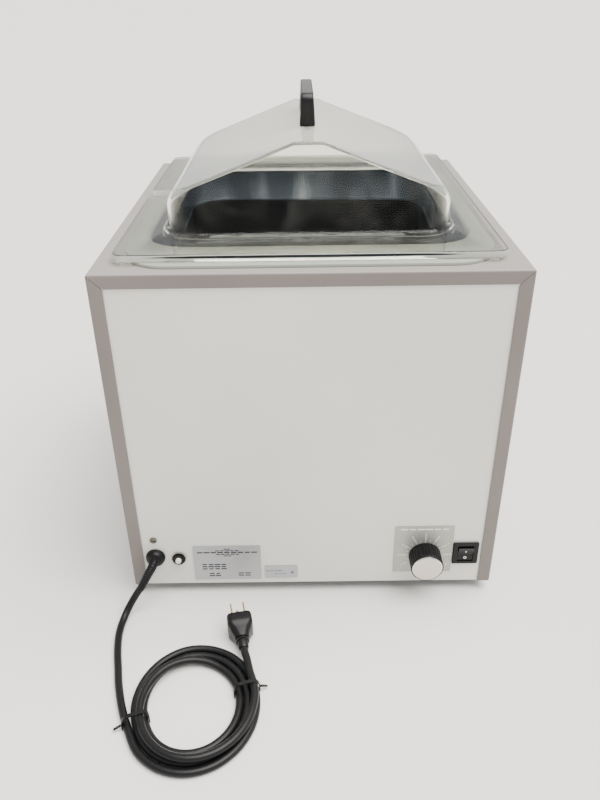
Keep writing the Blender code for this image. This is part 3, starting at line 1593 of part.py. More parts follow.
def make_blade(name, frame, across, height, plug):
    """One flat blade with its hole, and the slot in the plug that holds it."""

    def blade_box(box_name, grow, back, front, finish=None):
        made = box(
            box_name,
            (
                across - BLADE_THICKNESS / 2 - grow,
                back,
                height - BLADE_WIDTH / 2 - grow,
            ),
            (
                across + BLADE_THICKNESS / 2 + grow,
                front,
                height + BLADE_WIDTH / 2 + grow,
            ),
            finish,
        )
        made.data.transform(frame)
        return made

    blade = blade_box(name, 0.0, -0.006, BLADE_LENGTH, BRASS)
    hole = rod(
        name + "_hole",
        frame @ Vector((across - 0.004, BLADE_LENGTH * 0.73, height)),
        frame @ Vector((across + 0.004, BLADE_LENGTH * 0.73, height)),
        0.0016,
        sides=12,
    )
    cut(blade, hole)
    cut(plug, blade_box(name + "_slot", GAP, -0.006 - GAP, 0.002))


def make_wiring():
    """The terminal block on the casing's floor and the leads between the controls."""
    width, depth, height = TERMINAL_SIZE
    floor = BOTTOM_Z + SHEET + GAP
    x = TERMINAL_PLACE[0]
    y = FRONT_Y + TERMINAL_PLACE[1]
    block = box(
        "terminal_block",
        (x - width / 2, y - depth / 2, floor),
        (x + width / 2, y + depth / 2, floor + height),
        WHITE_PLASTIC,
    )
    round_edges(block, 0.001, 1)
    gland = panel_point(GLAND_PLACE, -GLAND_TAIL - GAP)
    breaker = panel_point(BREAKER_PLACE, -SHEET - GAP - BREAKER_BODY_SIZE[1] - GAP)
    switch = switch_centre() + Vector((0, SWITCH_BODY_DEPTH, 0))
    stat = panel_point(KNOB_PLACE, -SHEET - GAP - THERMOSTAT_SIZE[1] - GAP)
    lug = WIRE_LUG
    left = Vector((x - width / 4, y, floor + height + GAP))
    right = Vector((x + width / 4, y, floor + height + GAP))
    upper = breaker + Vector((0, 0, 0.004))
    lower = breaker - Vector((0, 0, 0.004))
    live = switch - Vector((0, 0, 0.005))
    load = switch + Vector((0, 0, 0.005))
    away = Vector((0, lug, 0))
    up = Vector((0, 0, lug))
    runs = (
        ("wire_supply", (gland, gland + away, upper + 2 * away + up, upper + away, upper)),
        ("wire_breaker", (lower, lower + away, lower + 2 * away, left + 2.5 * up, left + up, left)),
        ("wire_switch", (right, right + up, right + 2.5 * up, live + 3 * away, live + away, live)),
        (
            "wire_thermostat",
            (
                load,
                load + away,
                Vector((stat.x + 0.020, stat.y + 2 * lug, stat.z + 0.012)),
                stat + Vector((0.010, lug, 0.008)),
                stat + Vector((0.010, 0, 0.008)),
            ),
        ),
    )
    for name, points in runs:
        tube(name, smooth_route(points, 0.008), WIRE_RADIUS, COPPER, sides_level=1)


make_case_wrapper()
make_front_panel()
make_base_pan()
make_rear_panel()
make_feet()
make_tank()
make_gasket()
make_insulation()
make_heat_shield()
make_shelf()
make_cover()
make_handle()
make_thermostat()
make_scale_plate()
make_knob()
make_switch()
make_breaker()
make_labels()
make_strain_relief()
make_cord()
make_plug()
make_wiring()
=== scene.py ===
# %% [markdown]
# # A laboratory water bath
#
# The bath is a painted sheet-metal casing round a stainless tank, under a clear cover with a
# gable roof. The engineering model is loaded first and stays as it is. This notebook then gives
# every surface its finish, and rebuilds the pieces whose shape needs more than flat facets.

# %% Load the engineering model
import math

import bmesh
import bpy
from mathutils import Matrix, Vector


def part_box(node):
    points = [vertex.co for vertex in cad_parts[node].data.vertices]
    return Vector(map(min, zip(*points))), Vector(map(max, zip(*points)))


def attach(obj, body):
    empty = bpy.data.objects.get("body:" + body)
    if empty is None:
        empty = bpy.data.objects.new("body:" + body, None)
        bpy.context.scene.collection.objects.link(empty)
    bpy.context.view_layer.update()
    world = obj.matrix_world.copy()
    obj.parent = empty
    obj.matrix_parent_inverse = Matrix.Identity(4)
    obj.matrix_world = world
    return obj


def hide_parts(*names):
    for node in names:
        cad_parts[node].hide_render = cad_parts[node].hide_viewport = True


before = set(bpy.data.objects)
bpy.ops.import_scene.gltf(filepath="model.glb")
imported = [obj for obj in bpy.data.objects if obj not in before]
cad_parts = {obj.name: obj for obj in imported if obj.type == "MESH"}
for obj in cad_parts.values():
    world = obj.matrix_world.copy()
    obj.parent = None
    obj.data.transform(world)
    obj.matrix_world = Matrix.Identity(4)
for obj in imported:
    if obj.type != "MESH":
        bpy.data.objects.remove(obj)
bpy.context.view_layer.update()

# %% [markdown]
# ## Where things are
#
# Positions are read from the model, so that the pieces made here can't drift from it. Only the
# shapes that the model can't tell us, such as bend radii, are written down again in metres.

# %% Places
case_low, case_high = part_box("case_wrapper")
panel_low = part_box("front_panel")[0]
FRONT_Y = case_low.y
REAR_Y = case_high.y
PANEL_Y = panel_low.y
BOTTOM_Z = case_low.z
TOP_Z = case_high.z
HALF_WIDTH = case_high.x
print("casing: %.0f x %.0f mm" % (2000 * HALF_WIDTH, 1000 * (REAR_Y - FRONT_Y)))

# %% [markdown]
# ## Small helpers
#
# Colours are given as sRGB hex codes, as a colour picker shows them, and one function turns them
# linear for the shaders. A second one adds a node, sets its values and makes its links, which
# keeps a material to a few readable lines.

# %% Colour and node helpers
def linear(code):
    """An sRGB hex code as linear red, green, blue and alpha."""
    channels = [int(code[i:i + 2], 16) / 255 for i in (1, 3, 5)]
    return tuple(c / 12.92 if c <= 0.04045 else ((c + 0.055) / 1.055) ** 2.4
                 for c in channels) + (1.0,)


def node(tree, kind, links=(), **values):
    """Adds a node. values set its properties, or its inputs by name or number (in0, in1)."""
    made = tree.nodes.new(kind)
    for key, value in values.items():
        if hasattr(made, key):
            setattr(made, key, value)
        elif key.startswith("in") and key[2:].isdigit():
            made.inputs[int(key[2:])].default_value = value
        else:
            made.inputs[key.replace("_", " ")].default_value = value
    for socket, source in dict(links).items():
        tree.links.new(source, made.inputs[socket])
    return made


def finish(name, colour, roughness, metallic=0.0, **shader):
    """A new material: its tree, its Principled shader and the Object coordinates."""
    made = bpy.data.materials.new(name)
    made.use_nodes = True
    tree = made.node_tree
    principled = tree.nodes["Principled BSDF"]
    principled.inputs["Base Color"].default_value = linear(colour)
    principled.inputs["Roughness"].default_value = roughness
    principled.inputs["Metallic"].default_value = metallic
    for key, value in shader.items():
        principled.inputs[key.replace("_", " ")].default_value = value
    place = node(tree, "ShaderNodeTexCoord").outputs["Object"]
    return made, tree, principled, place


def noise(tree, place, scale, detail=3.0, stretch=None):
    """Noise over the piece. stretch squeezes it along the axes where it is large."""
    if stretch is not None:
        place = node(tree, "ShaderNodeMapping", {"Vector": place}, Scale=stretch).outputs[0]
    return node(tree, "ShaderNodeTexNoise", {"Vector": place}, Scale=scale,
                Detail=detail).outputs["Fac"]


def ramp(tree, value, stops, mode="LINEAR"):
    """A colour ramp over value, with (position, hex code or grey) stops."""
    made = node(tree, "ShaderNodeValToRGB", {"Fac": value})
    made.color_ramp.interpolation = mode
    while len(made.color_ramp.elements) < len(stops):
        made.color_ramp.elements.new(0.5)
    for element, (position, colour) in zip(made.color_ramp.elements, stops):
        element.position = position
        element.color = linear(colour) if isinstance(colour, str) else (colour,) * 3 + (1.0,)
    return made.outputs["Color"]


def bump(tree, principled, height, strength, distance):
    made = node(tree, "ShaderNodeBump", {"Height": height}, Strength=strength,
                Distance=distance)
    tree.links.new(made.outputs[0], principled.inputs["Normal"])
    return made


def spread(tree, principled, value, low, high):
    """Roughness that runs from low to high with value."""
    made = node(tree, "ShaderNodeMapRange", {"Value": value}, To_Min=low, To_Max=high)
    tree.links.new(made.outputs[0], principled.inputs["Roughness"])


print("grey #808080 is", round(linear("#808080")[0], 4), "in linear light")

# %% [markdown]
# Pieces are meshes whose points are already in place, so each object stays at the origin. The
# helper below joins points and faces into such an object, gives it its finish and lets it ride
# on a body of the model. A ring loft covers most of the formed pieces: it skins rings that have
# the same number of points.

# %% Piece helpers
def linked(name, data):
    """A new object for a mesh, curve, light or camera, in the scene."""
    made = bpy.data.objects.new(name, data)
    bpy.context.scene.collection.objects.link(made)
    return made


def blank(name, bm):
    """A bare object with that shape, to be cut or bevelled, or to cut with."""
    mesh = bpy.data.meshes.new(name)
    bm.to_mesh(mesh)
    bm.free()
    return linked(name, mesh)


def piece(name, bm, material, body, smooth=35):
    """A finished piece: its shape, its finish and the body that it rides on."""
    made = blank(name, bm)
    made.data.materials.append(material)
    made.data.shade_smooth()
    made.data.set_sharp_from_angle(angle=math.radians(smooth))
    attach(made, body)
    return made


def plain_mesh(made):
    """Bakes an object's modifiers, or a curve's or text's shape and place, into a new mesh."""
    bpy.context.view_layer.update()
    graph = bpy.context.evaluated_depsgraph_get()
    mesh = bpy.data.meshes.new_from_object(made.evaluated_get(graph), depsgraph=graph)
    mesh.transform(made.matrix_world)
    bpy.data.objects.remove(made, do_unlink=True)
    return mesh


def baked(made, bm=None):
    """The same, added to a bmesh."""
    bm = bm or bmesh.new()
    bm.from_mesh(plain_mesh(made))
    return bm


def face_out(bm):
    bmesh.ops.remove_doubles(bm, verts=bm.verts, dist=1e-7)
    bmesh.ops.recalc_face_normals(bm, faces=bm.faces)
    if bm.calc_volume(signed=True) < 0:
        bmesh.ops.reverse_faces(bm, faces=bm.faces)


def loft(rings, cap_first=True, cap_last=True, closed=False, bm=None):
    """Skins rings of equally many points. closed joins the last ring to the first."""
    bm = bm or bmesh.new()
    loops = [[bm.verts.new(point) for point in ring] for ring in rings]
    pairs = list(zip(loops, loops[1:])) + ([(loops[-1], loops[0])] if closed else [])
    count = len(loops[0])
    for low, high in pairs:
        for i in range(count):
            j = (i + 1) % count
            bm.faces.new((low[i], low[j], high[j], high[i]))
    if cap_first and not closed:
        bm.faces.new(reversed(loops[0]))
    if cap_last and not closed:
        bm.faces.new(loops[-1])
    return bm


def rounded(width, depth, radius, steps=8):
    """Points of a rounded rectangle round the origin, anticlockwise."""
    points = []
    for quarter in range(4):
        side_x = 1 if quarter in (0, 3) else -1
        side_y = 1 if quarter in (0, 1) else -1
        for step in range(steps + 1):
            angle = math.pi / 2 * (quarter + step / steps)
            points.append((side_x * (width / 2 - radius) + radius * math.cos(angle),
                           side_y * (depth / 2 - radius) + radius * math.sin(angle)))
    return points


def smooth_line(points, spacing):
    """Evenly spaced points on a smooth curve through the given ones."""
    points = [Vector(point) for point in points]
    ends = [2 * points[0] - points[1], *points, 2 * points[-1] - points[-2]]
    fine = []
    for before, start, end, after in zip(ends, ends[1:], ends[2:], ends[3:]):
        for step in range(16):
            t = step / 16
            fine.append(0.5 * (2 * start + (end - before) * t
                               + (2 * before - 5 * start + 4 * end - after) * t * t
                               + (3 * start - before - 3 * end + after) * t ** 3))
    fine.append(points[-1])
    lengths = [0.0]
    for first, second in zip(fine, fine[1:]):
        lengths.append(lengths[-1] + (second - first).length)
    count = max(2, round(lengths[-1] / spacing))
    even = []
    index = 0
    for number in range(count + 1):
        wanted = lengths[-1] * number / count
        while index < len(fine) - 2 and lengths[index + 1] < wanted:
            index += 1
        share = (wanted - lengths[index]) / (lengths[index + 1] - lengths[index])
        even.append(fine[index].lerp(fine[index + 1], share))
    return even


def wire_curve(name, points, radius, material, sides=4, radii=None):
    """A round tube as a curve through closely spaced points."""
    curve = bpy.data.curves.new(name, "CURVE")
    curve.dimensions = "3D"
    curve.bevel_depth = radius
    curve.bevel_resolution = sides
    curve.use_fill_caps = True
    spline = curve.splines.new("POLY")
    spline.points.add(len(points) - 1)
    for number, (point, spot) in enumerate(zip(spline.points, points)):
        point.co = (*spot, 1.0)
        if radii:
            point.radius = radii[number]
    spline.use_smooth = True
    curve.materials.append(material)
    return linked(name, curve)


def tube_mesh(name, points, radius, material, body, sides=4, radii=None):
    """The same tube as a mesh piece."""
    bm = baked(wire_curve(name + "_line", points, radius, material, sides, radii))
    face_out(bm)
    return piece(name, bm, material, body, 50)


print("helpers ready")

# %% [markdown]
# ## Camera
#
# The bath stands on a bench and is looked down on from about head height, a little left of its
# middle. Blender's camera looks along its own -Z, so its three axes are worked out from the
# pitch, yaw and roll and set as the columns of its matrix.

# %% Camera
PITCH = 0.5247
YAW = -0.0033
ROLL = -0.0140
camera_place = Vector((-0.0084, FRONT_Y - 0.5872, BOTTOM_Z + 0.5662))
forward = Vector((math.sin(YAW) * math.cos(PITCH), math.cos(YAW) * math.cos(PITCH),
                  -math.sin(PITCH)))
level = Vector((math.cos(YAW), -math.sin(YAW), 0.0))
upward = level.cross(forward)
right = level * math.cos(ROLL) + upward * math.sin(ROLL)
up = upward * math.cos(ROLL) - level * math.sin(ROLL)
camera_data = bpy.data.cameras.new("camera")
camera_data.lens = 737.9 / 800 * 36
camera_data.clip_start = 0.01
camera = linked("camera", camera_data)
turn = Matrix((right, up, -forward)).transposed().to_4x4()
camera.matrix_world = Matrix.Translation(camera_place) @ turn
bpy.context.scene.camera = camera
print("lens %.1f mm, %.2f m above the bench" % (camera_data.lens, camera_place.z))

# %% [markdown]
# ## Mains cord
#
# The cord is a black flexible jacket 7.6 mm thick. An extruded jacket is a slightly soft,
# slightly shiny black, with the faint ripples of the twisted cores inside, so its material has a
# fine bump and uneven gloss.

# %% Cord jacket material
cord_jacket, tree, shader, place = finish("extruded PVC cord jacket", "#111112", 0.36,
                                          Specular_IOR_Level=0.22)
ripple = noise(tree, place, 260.0, 2.0)
smear = noise(tree, place, 28.0, 3.0)
bump(tree, shader, ripple, 0.25, 0.0004)
spread(tree, shader, smear, 0.30, 0.48)
print("made", cord_jacket.name)

# %% [markdown]
# The cord leaves the strain relief, drops to the bench and runs into a coil of about three and a
# half turns, a little longer than wide. Three turns lie side by side, the last climbs over them,
# and the end goes off to the plug. The free stretches are listed points. The coil's turns
# come from a short table of radius and height, read every 24 degrees, so that a strand can be
# moved in or lifted over another by changing one row.

# %% Cord route
CORD_RADIUS = 0.0038
COIL_STRETCH = 1.12
coil_frame = (Matrix.Translation((-0.1115, FRONT_Y - 0.1458, 0.0))
              @ Matrix.Diagonal((1.0, COIL_STRETCH, 1.0, 1.0)))
LOW_LAYER = CORD_RADIUS + 0.0002
HIGH_LAYER = LOW_LAYER + 0.0073


def between(value, table):
    """The numbers that the table gives for value, read straight between its rows."""
    for first, second in zip(table, table[1:]):
        if value <= second[0]:
            share = (value - first[0]) / (second[0] - first[0])
            return [a + (b - a) * share for a, b in zip(first[1:], second[1:])]
    return list(table[-1][1:])


def coil_point(degrees):
    """A point of the coil, that many degrees along it."""
    radius, height = between(degrees, COIL)
    angle = math.radians(degrees)
    return coil_frame @ Vector((radius * math.cos(angle), radius * math.sin(angle), height))


def out_front(across, out, height):
    """A point given across, in front of the casing, and up from the casing's bottom edge."""
    return Vector((across, FRONT_Y + out, BOTTOM_Z + height))


lead = [
    out_front(-0.1770, -0.0222, 0.0180),
    out_front(-0.1825, -0.0243, 0.0105),
    out_front(-0.1880, -0.0280, 0.0025),
    out_front(-0.1923, -0.0335, -0.0040),
    out_front(-0.1950, -0.0410, -0.0080),
    out_front(-0.1962, -0.0520, -0.0092),
    out_front(-0.1955, -0.0660, -0.0092),
    out_front(-0.1925, -0.0840, -0.0092),
    out_front(-0.1880, -0.1030, -0.0092),
    out_front(-0.1840, -0.1200, -0.0092),
    out_front(-0.1782, -0.1390, -0.0091),
    out_front(-0.1722, -0.1550, -0.0091),
]
COIL = (
    # degrees along the coil, radius, height of the cord's middle
    (200, 0.0582, LOW_LAYER), (470, 0.0582, LOW_LAYER), (560, 0.0505, LOW_LAYER),
    (830, 0.0505, LOW_LAYER), (920, 0.0428, LOW_LAYER), (1135, 0.0430, LOW_LAYER),
    (1215, 0.0442, HIGH_LAYER), (1290, 0.0470, HIGH_LAYER), (1370, 0.0520, HIGH_LAYER),
    (1448, 0.0572, HIGH_LAYER),
)
turns = [coil_point(200 + step * 24) for step in range(53)]
tail = [
    out_front(-0.0610, -0.1130, -0.0017),
    out_front(-0.0645, -0.0985, -0.0016),
    out_front(-0.0664, -0.0930, -0.0013),
    out_front(-0.0675, -0.0885, -0.0010),
]
cord_line = smooth_line([*lead, *turns, *tail], 0.0035)

# %% [markdown]
# A cord could be a chain of cylinders or a sweep made by hand. A curve with a bevel is simpler
# and stays a curve, which keeps its length and its route readable.

# %% The cord itself
cord = wire_curve("mains_cord", cord_line, CORD_RADIUS, cord_jacket, sides=5)
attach(cord, "casing")
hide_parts("cord_lead", "cord_coil", "cord_tail")
print("the cord starts at", [round(value, 4) for value in cord_line[0]])

# %% [markdown]
# ## Plug
#
# The plug is moulded onto the cord: a block at the face, sides that taper like a V to a grip,
# then a collar and a slim sleeve round the cord. It is a loft of rounded rectangles whose size,
# height and corner radius change along its length, with smooth shading. The blades
# and the earth pin come from the model.

# %% Plug body
PLUG_TURN = math.radians(11.4)
plug_face = Vector((-0.0748, FRONT_Y - 0.053, 0.0))
plug_frame = Matrix.Translation(plug_face) @ Matrix.Rotation(PLUG_TURN, 4, "Z")
plug_sections = (
    # back from the face, width, height, middle height, corner radius
    (0.0000, 0.0222, 0.0236, 0.01355, 0.0040),
    (0.0006, 0.0244, 0.0258, 0.01355, 0.0046),
    (0.0020, 0.0250, 0.0264, 0.01355, 0.0048),
    (0.0090, 0.0250, 0.0264, 0.01355, 0.0048),
    (0.0125, 0.0246, 0.0258, 0.01350, 0.0050),
    (0.0165, 0.0196, 0.0212, 0.01280, 0.0056),
    (0.0205, 0.0156, 0.0170, 0.01230, 0.0058),
    (0.0232, 0.0140, 0.0142, 0.01200, 0.0060),
    (0.0238, 0.0136, 0.0136, 0.01200, 0.0062),
    (0.0240, 0.0112, 0.0112, 0.01200, 0.0055),
    (0.0252, 0.0110, 0.0110, 0.01200, 0.0054),
    (0.0254, 0.0132, 0.0132, 0.01200, 0.0065),
    (0.0272, 0.0132, 0.0132, 0.01200, 0.0065),
    (0.0275, 0.0110, 0.0110, 0.01200, 0.0054),
    (0.0350, 0.0096, 0.0096, 0.01200, 0.0047),
    (0.0360, 0.0080, 0.0080, 0.01200, 0.0039),
)
rings = []
for back, width, height, middle, radius in plug_sections:
    outline = rounded(width, height, radius, 6)
    rings.append([plug_frame @ Vector((x, -back, middle + z)) for x, z in outline])
plug_bm = loft(rings)
face_out(plug_bm)
plug = piece("plug_moulding", plug_bm, cord_jacket, "casing", 40)
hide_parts("plug_body")
print("plug:", len(plug.data.polygons), "faces")

# %% [markdown]
# ## Twist ties
#
# Two plastic-covered wire ties keep the coil together. Their strip is a dull black, pressed with
# a fine grain, and a little bare steel wire shows at the tips.

# %% Tie material
tie_plastic, tree, shader, place = finish("black tie strip", "#0E0E0F", 0.44,
                                          Specular_IOR_Level=0.22)
bump(tree, shader, noise(tree, place, 900.0), 0.2, 0.0002)
tie_wire, tree, shader, place = finish("bare steel tie wire", "#B9B6AF", 0.3, 1.0)
spread(tree, shader, noise(tree, place, 700.0), 0.22, 0.42)

# %% [markdown]
# Each tie is a flat strip round all the strands, and its two ends are twisted into each other and
# stick out. The strip is a thin band lofted along a line over the strands. The twist is a pair of
# tubes wound round one another, because two plain wires side by side would look untwisted.

# %% Ties
def tie(name, degrees, node_name):
    """A strip over the coil at that angle, and its twisted ends outside it."""
    inner = 0.0386
    outer = 0.0627
    over = [(inner, 0.0008), (inner, 0.0060), (inner + 0.0008, 0.0120), (inner + 0.0040, 0.0153),
            (0.0470, 0.0157), (0.0530, 0.0157), (outer - 0.0040, 0.0148), (outer - 0.0006, 0.0105),
            (outer, 0.0060), (outer, 0.0010)]
    turn = coil_frame @ Matrix.Rotation(math.radians(degrees), 4, "Z")
    line = smooth_line([Vector((r, 0.0, z)) for r, z in over], 0.0012)
    rings = []
    for number, spot in enumerate(line):
        ahead = line[min(number + 1, len(line) - 1)] - line[max(number - 1, 0)]
        out = Vector((0, 1, 0)).cross(ahead.normalized()) * 0.00045
        side = Vector((0, 0.0017, 0))
        rings.append([turn @ (spot + a) for a in (out + side, out - side, -out - side,
                                                  -out + side)])
    bm = loft(rings)
    face_out(bm)
    strip = piece(name + "_strip", bm, tie_plastic, "casing", 50)
    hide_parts(node_name)
    made = [strip]
    for strand in (0, 1):
        coil = []
        for step in range(28):
            share = step / 27
            spin = share * 3.2 * math.pi + strand * math.pi
            reach = 0.0007 * min(1.0, 3 * (1 - share) + 0.3) * (1 + 0.9 * max(0, share - 0.8) * 5)
            coil.append(turn @ Vector((outer + 0.0003 + 0.0068 * share,
                                       reach * math.cos(spin),
                                       0.0062 - 0.0028 * share + reach * math.sin(spin))))
        made.append(tube_mesh("%s_end_%d" % (name, strand + 1), coil, 0.0006, tie_plastic,
                              "casing", 2))
        tip = coil[-1] + (coil[-1] - coil[-2]).normalized() * 0.0012
        made.append(tube_mesh("%s_wire_%d" % (name, strand + 1), [coil[-1], tip], 0.00035,
                              tie_wire, "casing", 2))
    return made


tie_pieces = tie("left_tie", 197, "cord_tie_left") + tie("right_tie", 16, "cord_tie_right")
print(len(tie_pieces), "tie pieces")

# %% [markdown]
# ## Floor and light
#
# A plain pale floor and soft light show the object fairly. Most of the light comes from above,
# as from a wide skylight a little to the right, so level surfaces are about twice as bright as
# upright ones. A pale surround fills the shadows. Nothing here belongs to the object.

# %% Floor and light
floor_bm = bmesh.new()
bmesh.ops.create_grid(floor_bm, x_segments=1, y_segments=1, size=30.0)
floor = blank("studio_floor", floor_bm)
floor_paint, tree, shader, place = finish("matt pale floor paint", "#DEDCD8", 0.80)
floor.data.materials.append(floor_paint)

world = bpy.data.worlds.new("soft surround")
world.use_nodes = True
world.node_tree.nodes["Background"].inputs["Color"].default_value = linear("#F1F2F3")
world.node_tree.nodes["Background"].inputs["Strength"].default_value = 0.95
bpy.context.scene.world = world

skylight = bpy.data.lights.new("skylight", "SUN")
skylight.energy = 8.0
skylight.angle = math.radians(55)
skylight.color = linear("#FFFCF8")[:3]
above = linked("skylight", skylight)
above.rotation_euler = Vector((-0.30, 0.10, -0.95)).to_track_quat("-Z", "Y").to_euler()
print("stage set")

# %% [markdown]
# ## Painted sheet metal
#
# The casing wears a warm grey powder coat. A powder coat is never quite flat: it dries with a
# fine orange peel, and handling leaves faint cloudy marks. The bump is therefore small and
# dense, and a wide soft noise moves the colour and the gloss a little. Level surfaces are
# painted paler, as painted light from above. The control panel is a smoother, brighter enamel.

# %% Casing paint
def painted_top_light(tree, colour, painted_light_colour, low=0.70, high=0.95):
    """That colour, turning to a paler painted light colour where the surface is level."""
    normal = node(tree, "ShaderNodeNewGeometry").outputs["Normal"]
    level = node(tree, "ShaderNodeSeparateXYZ", {"Vector": normal}).outputs["Z"]
    share = node(tree, "ShaderNodeMapRange", {"Value": level}, From_Min=low, From_Max=high)
    made = node(tree, "ShaderNodeMix", {0: share.outputs[0], 6: colour}, data_type="RGBA")
    made.inputs[7].default_value = linear(painted_light_colour)
    return made.outputs[2]


case_paint, tree, shader, place = finish("warm grey powder coat", "#6E6762", 0.48)
cloud = noise(tree, place, 9.0, 4.0)
tone = ramp(tree, cloud, [(0.3, "#6B6460"), (0.7, "#736B67")])
# The level top is painted paler, #928D89, as painted light from above.
tree.links.new(painted_top_light(tree, tone, "#928D89"), shader.inputs["Base Color"])
spread(tree, shader, noise(tree, place, 30.0), 0.40, 0.56)
bump(tree, shader, noise(tree, place, 1400.0, 2.0), 0.18, 0.0002)

panel_paint, tree, shader, place = finish("white baked enamel", "#D9D7D0", 0.32)
cloud = noise(tree, place, 6.0, 4.0)
tree.links.new(ramp(tree, cloud, [(0.3, "#D6D4CC"), (0.7, "#DCDAD4")]),
               shader.inputs["Base Color"])
spread(tree, shader, noise(tree, place, 24.0, 5.0), 0.26, 0.40)
bump(tree, shader, noise(tree, place, 500.0, 2.0), 0.06, 0.0003)

zinc_sheet, tree, shader, place = finish("hot-dip galvanised sheet", "#A9ACAE", 0.42, 1.0)
spangle = node(tree, "ShaderNodeTexVoronoi", {"Vector": place}, Scale=160.0)
tree.links.new(ramp(tree, spangle.outputs["Color"], [(0.2, "#9A9DA0"), (0.8, "#B6B9BB")]),
               shader.inputs["Base Color"])
spread(tree, shader, noise(tree, place, 60.0), 0.34, 0.52)
print("sheet metal finishes ready")

# %% [markdown]
# ## Stainless steel
#
# The tank is drawn from one stainless sheet. Its flange is clean and finely brushed. Inside,
# the colour turns almost black below a height in the tank, with an uneven edge: painted shade
# in the deep tank. Above it the wall carries painted reflections, blue-grey with pale stripes.

# %% Stainless steel with painted shade below a height and painted reflections above it
# Below this height the tank's colour is painted shade.
SHADE_LINE = TOP_Z - 0.041
RIM = TOP_Z + 0.003


def stainless(name, painted_shade):
    made, tree, shader, place = finish(name, "#A9ACA8", 0.28, 1.0)
    grain = noise(tree, place, 60.0, 4.0, (1.0, 14.0, 14.0))
    spread(tree, shader, grain, 0.24, 0.36)
    if not painted_shade:
        bump(tree, shader, grain, 0.05, 0.0002)
        return made
    height = node(tree, "ShaderNodeSeparateXYZ", {"Vector": place}).outputs["Z"]
    # Painted reflections on the wall above the shade: blue-grey with pale vertical stripes,
    # #3E4652 to #E2E8EC.
    reflection_streaks = noise(tree, place, 9.0, 6.0, (3.4, 1.0, 0.5))
    painted_reflections = ramp(tree, reflection_streaks, [(0.34, "#3E4652"), (0.50, "#6D7684"), (0.62, "#9BA3AD"),
                                   (0.70, "#E2E8EC")])
    flange = node(tree, "ShaderNodeMapRange", {"Value": height}, From_Min=RIM - 0.0062,
                  From_Max=RIM - 0.0038).outputs[0]
    mixed = node(tree, "ShaderNodeMix", {0: flange, 6: painted_reflections}, data_type="RGBA")
    mixed.inputs[7].default_value = linear("#9DA198")
    cloud = noise(tree, place, 14.0, 5.0)
    uneven = node(tree, "ShaderNodeMath", {0: cloud, 2: height}, operation="MULTIPLY_ADD",
                  in1=0.003).outputs[0]
    # The mask line marks where the painted shade begins, with an uneven edge.
    line = node(tree, "ShaderNodeMapRange", {"Value": uneven}, From_Min=SHADE_LINE + 0.0008,
                From_Max=SHADE_LINE + 0.0022).outputs[0]
    # Painted shade below that edge: near-black, #030304 to #151719, with less gloss.
    dark = ramp(tree, noise(tree, place, 18.0, 7.0), [(0.50, "#030304"), (0.90, "#151719")])
    colour = node(tree, "ShaderNodeMix", {0: line, 6: dark, 7: mixed.outputs[2]},
                  data_type="RGBA")
    tree.links.new(colour.outputs[2], shader.inputs["Base Color"])
    metal = node(tree, "ShaderNodeMath", {0: line, 1: flange}, operation="SUBTRACT",
                 use_clamp=True).outputs[0]
    shine = node(tree, "ShaderNodeMapRange", {"Value": metal}, To_Min=0.15, To_Max=0.85)
    tree.links.new(shine.outputs[0], shader.inputs["Metallic"])
    rough = node(tree, "ShaderNodeMapRange", {"Value": metal}, To_Min=0.50, To_Max=0.26)
    tree.links.new(rough.outputs[0], shader.inputs["Roughness"])
    level = node(tree, "ShaderNodeMapRange", {"Value": line}, To_Min=0.06, To_Max=0.50)
    tree.links.new(level.outputs[0], shader.inputs["Specular IOR Level"])
    return made


tank_steel = stainless("brushed stainless with a dark film", True)
clean_steel = stainless("brushed stainless", False)
print("shading line %.0f mm above the bench" % (1000 * SHADE_LINE))

# %% [markdown]
# ## Plastics, rubber and small metals
#
# Moulded parts are dark with a fine spark-eroded grain. Rubber is rougher and a little dusty.
# Screws are nickel plated, the knob's cap is turned aluminium, and the blades are rolled brass.
# Each gets its own grain, because that is what tells them apart where their colours are close.

# %% Small finishes
def grained(name, colour, roughness, metallic, scale, strength, gloss, **shader_values):
    """A finish whose grain is a bump at that scale and whose roughness wanders by gloss."""
    made, tree, shader, place = finish(name, colour, roughness, metallic, **shader_values)
    bump(tree, shader, noise(tree, place, scale, 3.0), strength, 0.0003)
    spread(tree, shader, noise(tree, place, 40.0, 4.0), roughness - gloss, roughness + gloss)
    return made


black_moulding = grained("black moulded nylon", "#0E0E10", 0.38, 0.0, 1500.0, 0.22, 0.07,
                         Specular_IOR_Level=0.20)
handle_moulding = grained("black phenolic handle", "#0F0F11", 0.34, 0.0, 700.0, 0.12, 0.06,
                          Specular_IOR_Level=0.26)
# The handle's level top is painted paler, #4B4946: a painted sheen.
tree = handle_moulding.node_tree
plain = node(tree, "ShaderNodeRGB")
plain.outputs[0].default_value = linear("#0F0F11")
tree.links.new(painted_top_light(tree, plain.outputs[0], "#4B4946", 0.90, 0.99),
               tree.nodes["Principled BSDF"].inputs["Base Color"])
white_moulding = grained("white moulded nylon", "#E2E1DC", 0.40, 0.0, 900.0, 0.12, 0.06)
rubber = grained("black moulded rubber", "#131312", 0.66, 0.0, 1100.0, 0.35, 0.08,
                 Specular_IOR_Level=0.25)
nickel = grained("nickel-plated steel", "#B8B4AC", 0.26, 1.0, 900.0, 0.10, 0.06)
brass = grained("rolled brass", "#C9AE72", 0.28, 1.0, 1200.0, 0.10, 0.07)
copper = grained("enamelled copper", "#9C5A38", 0.34, 1.0, 800.0, 0.10, 0.06)
glass_wool = grained("yellow glass wool", "#C9B878", 0.92, 0.0, 260.0, 0.90, 0.04)
silicone = grained("red silicone mat", "#7C2A1C", 0.58, 0.0, 700.0, 0.30, 0.06)
tarnished = grained("tarnished zinc plate", "#67635A", 0.42, 0.8, 900.0, 0.20, 0.10)
blue_print = grained("faded blue print", "#5C6079", 0.45, 0.0, 1500.0, 0.10, 0.05)
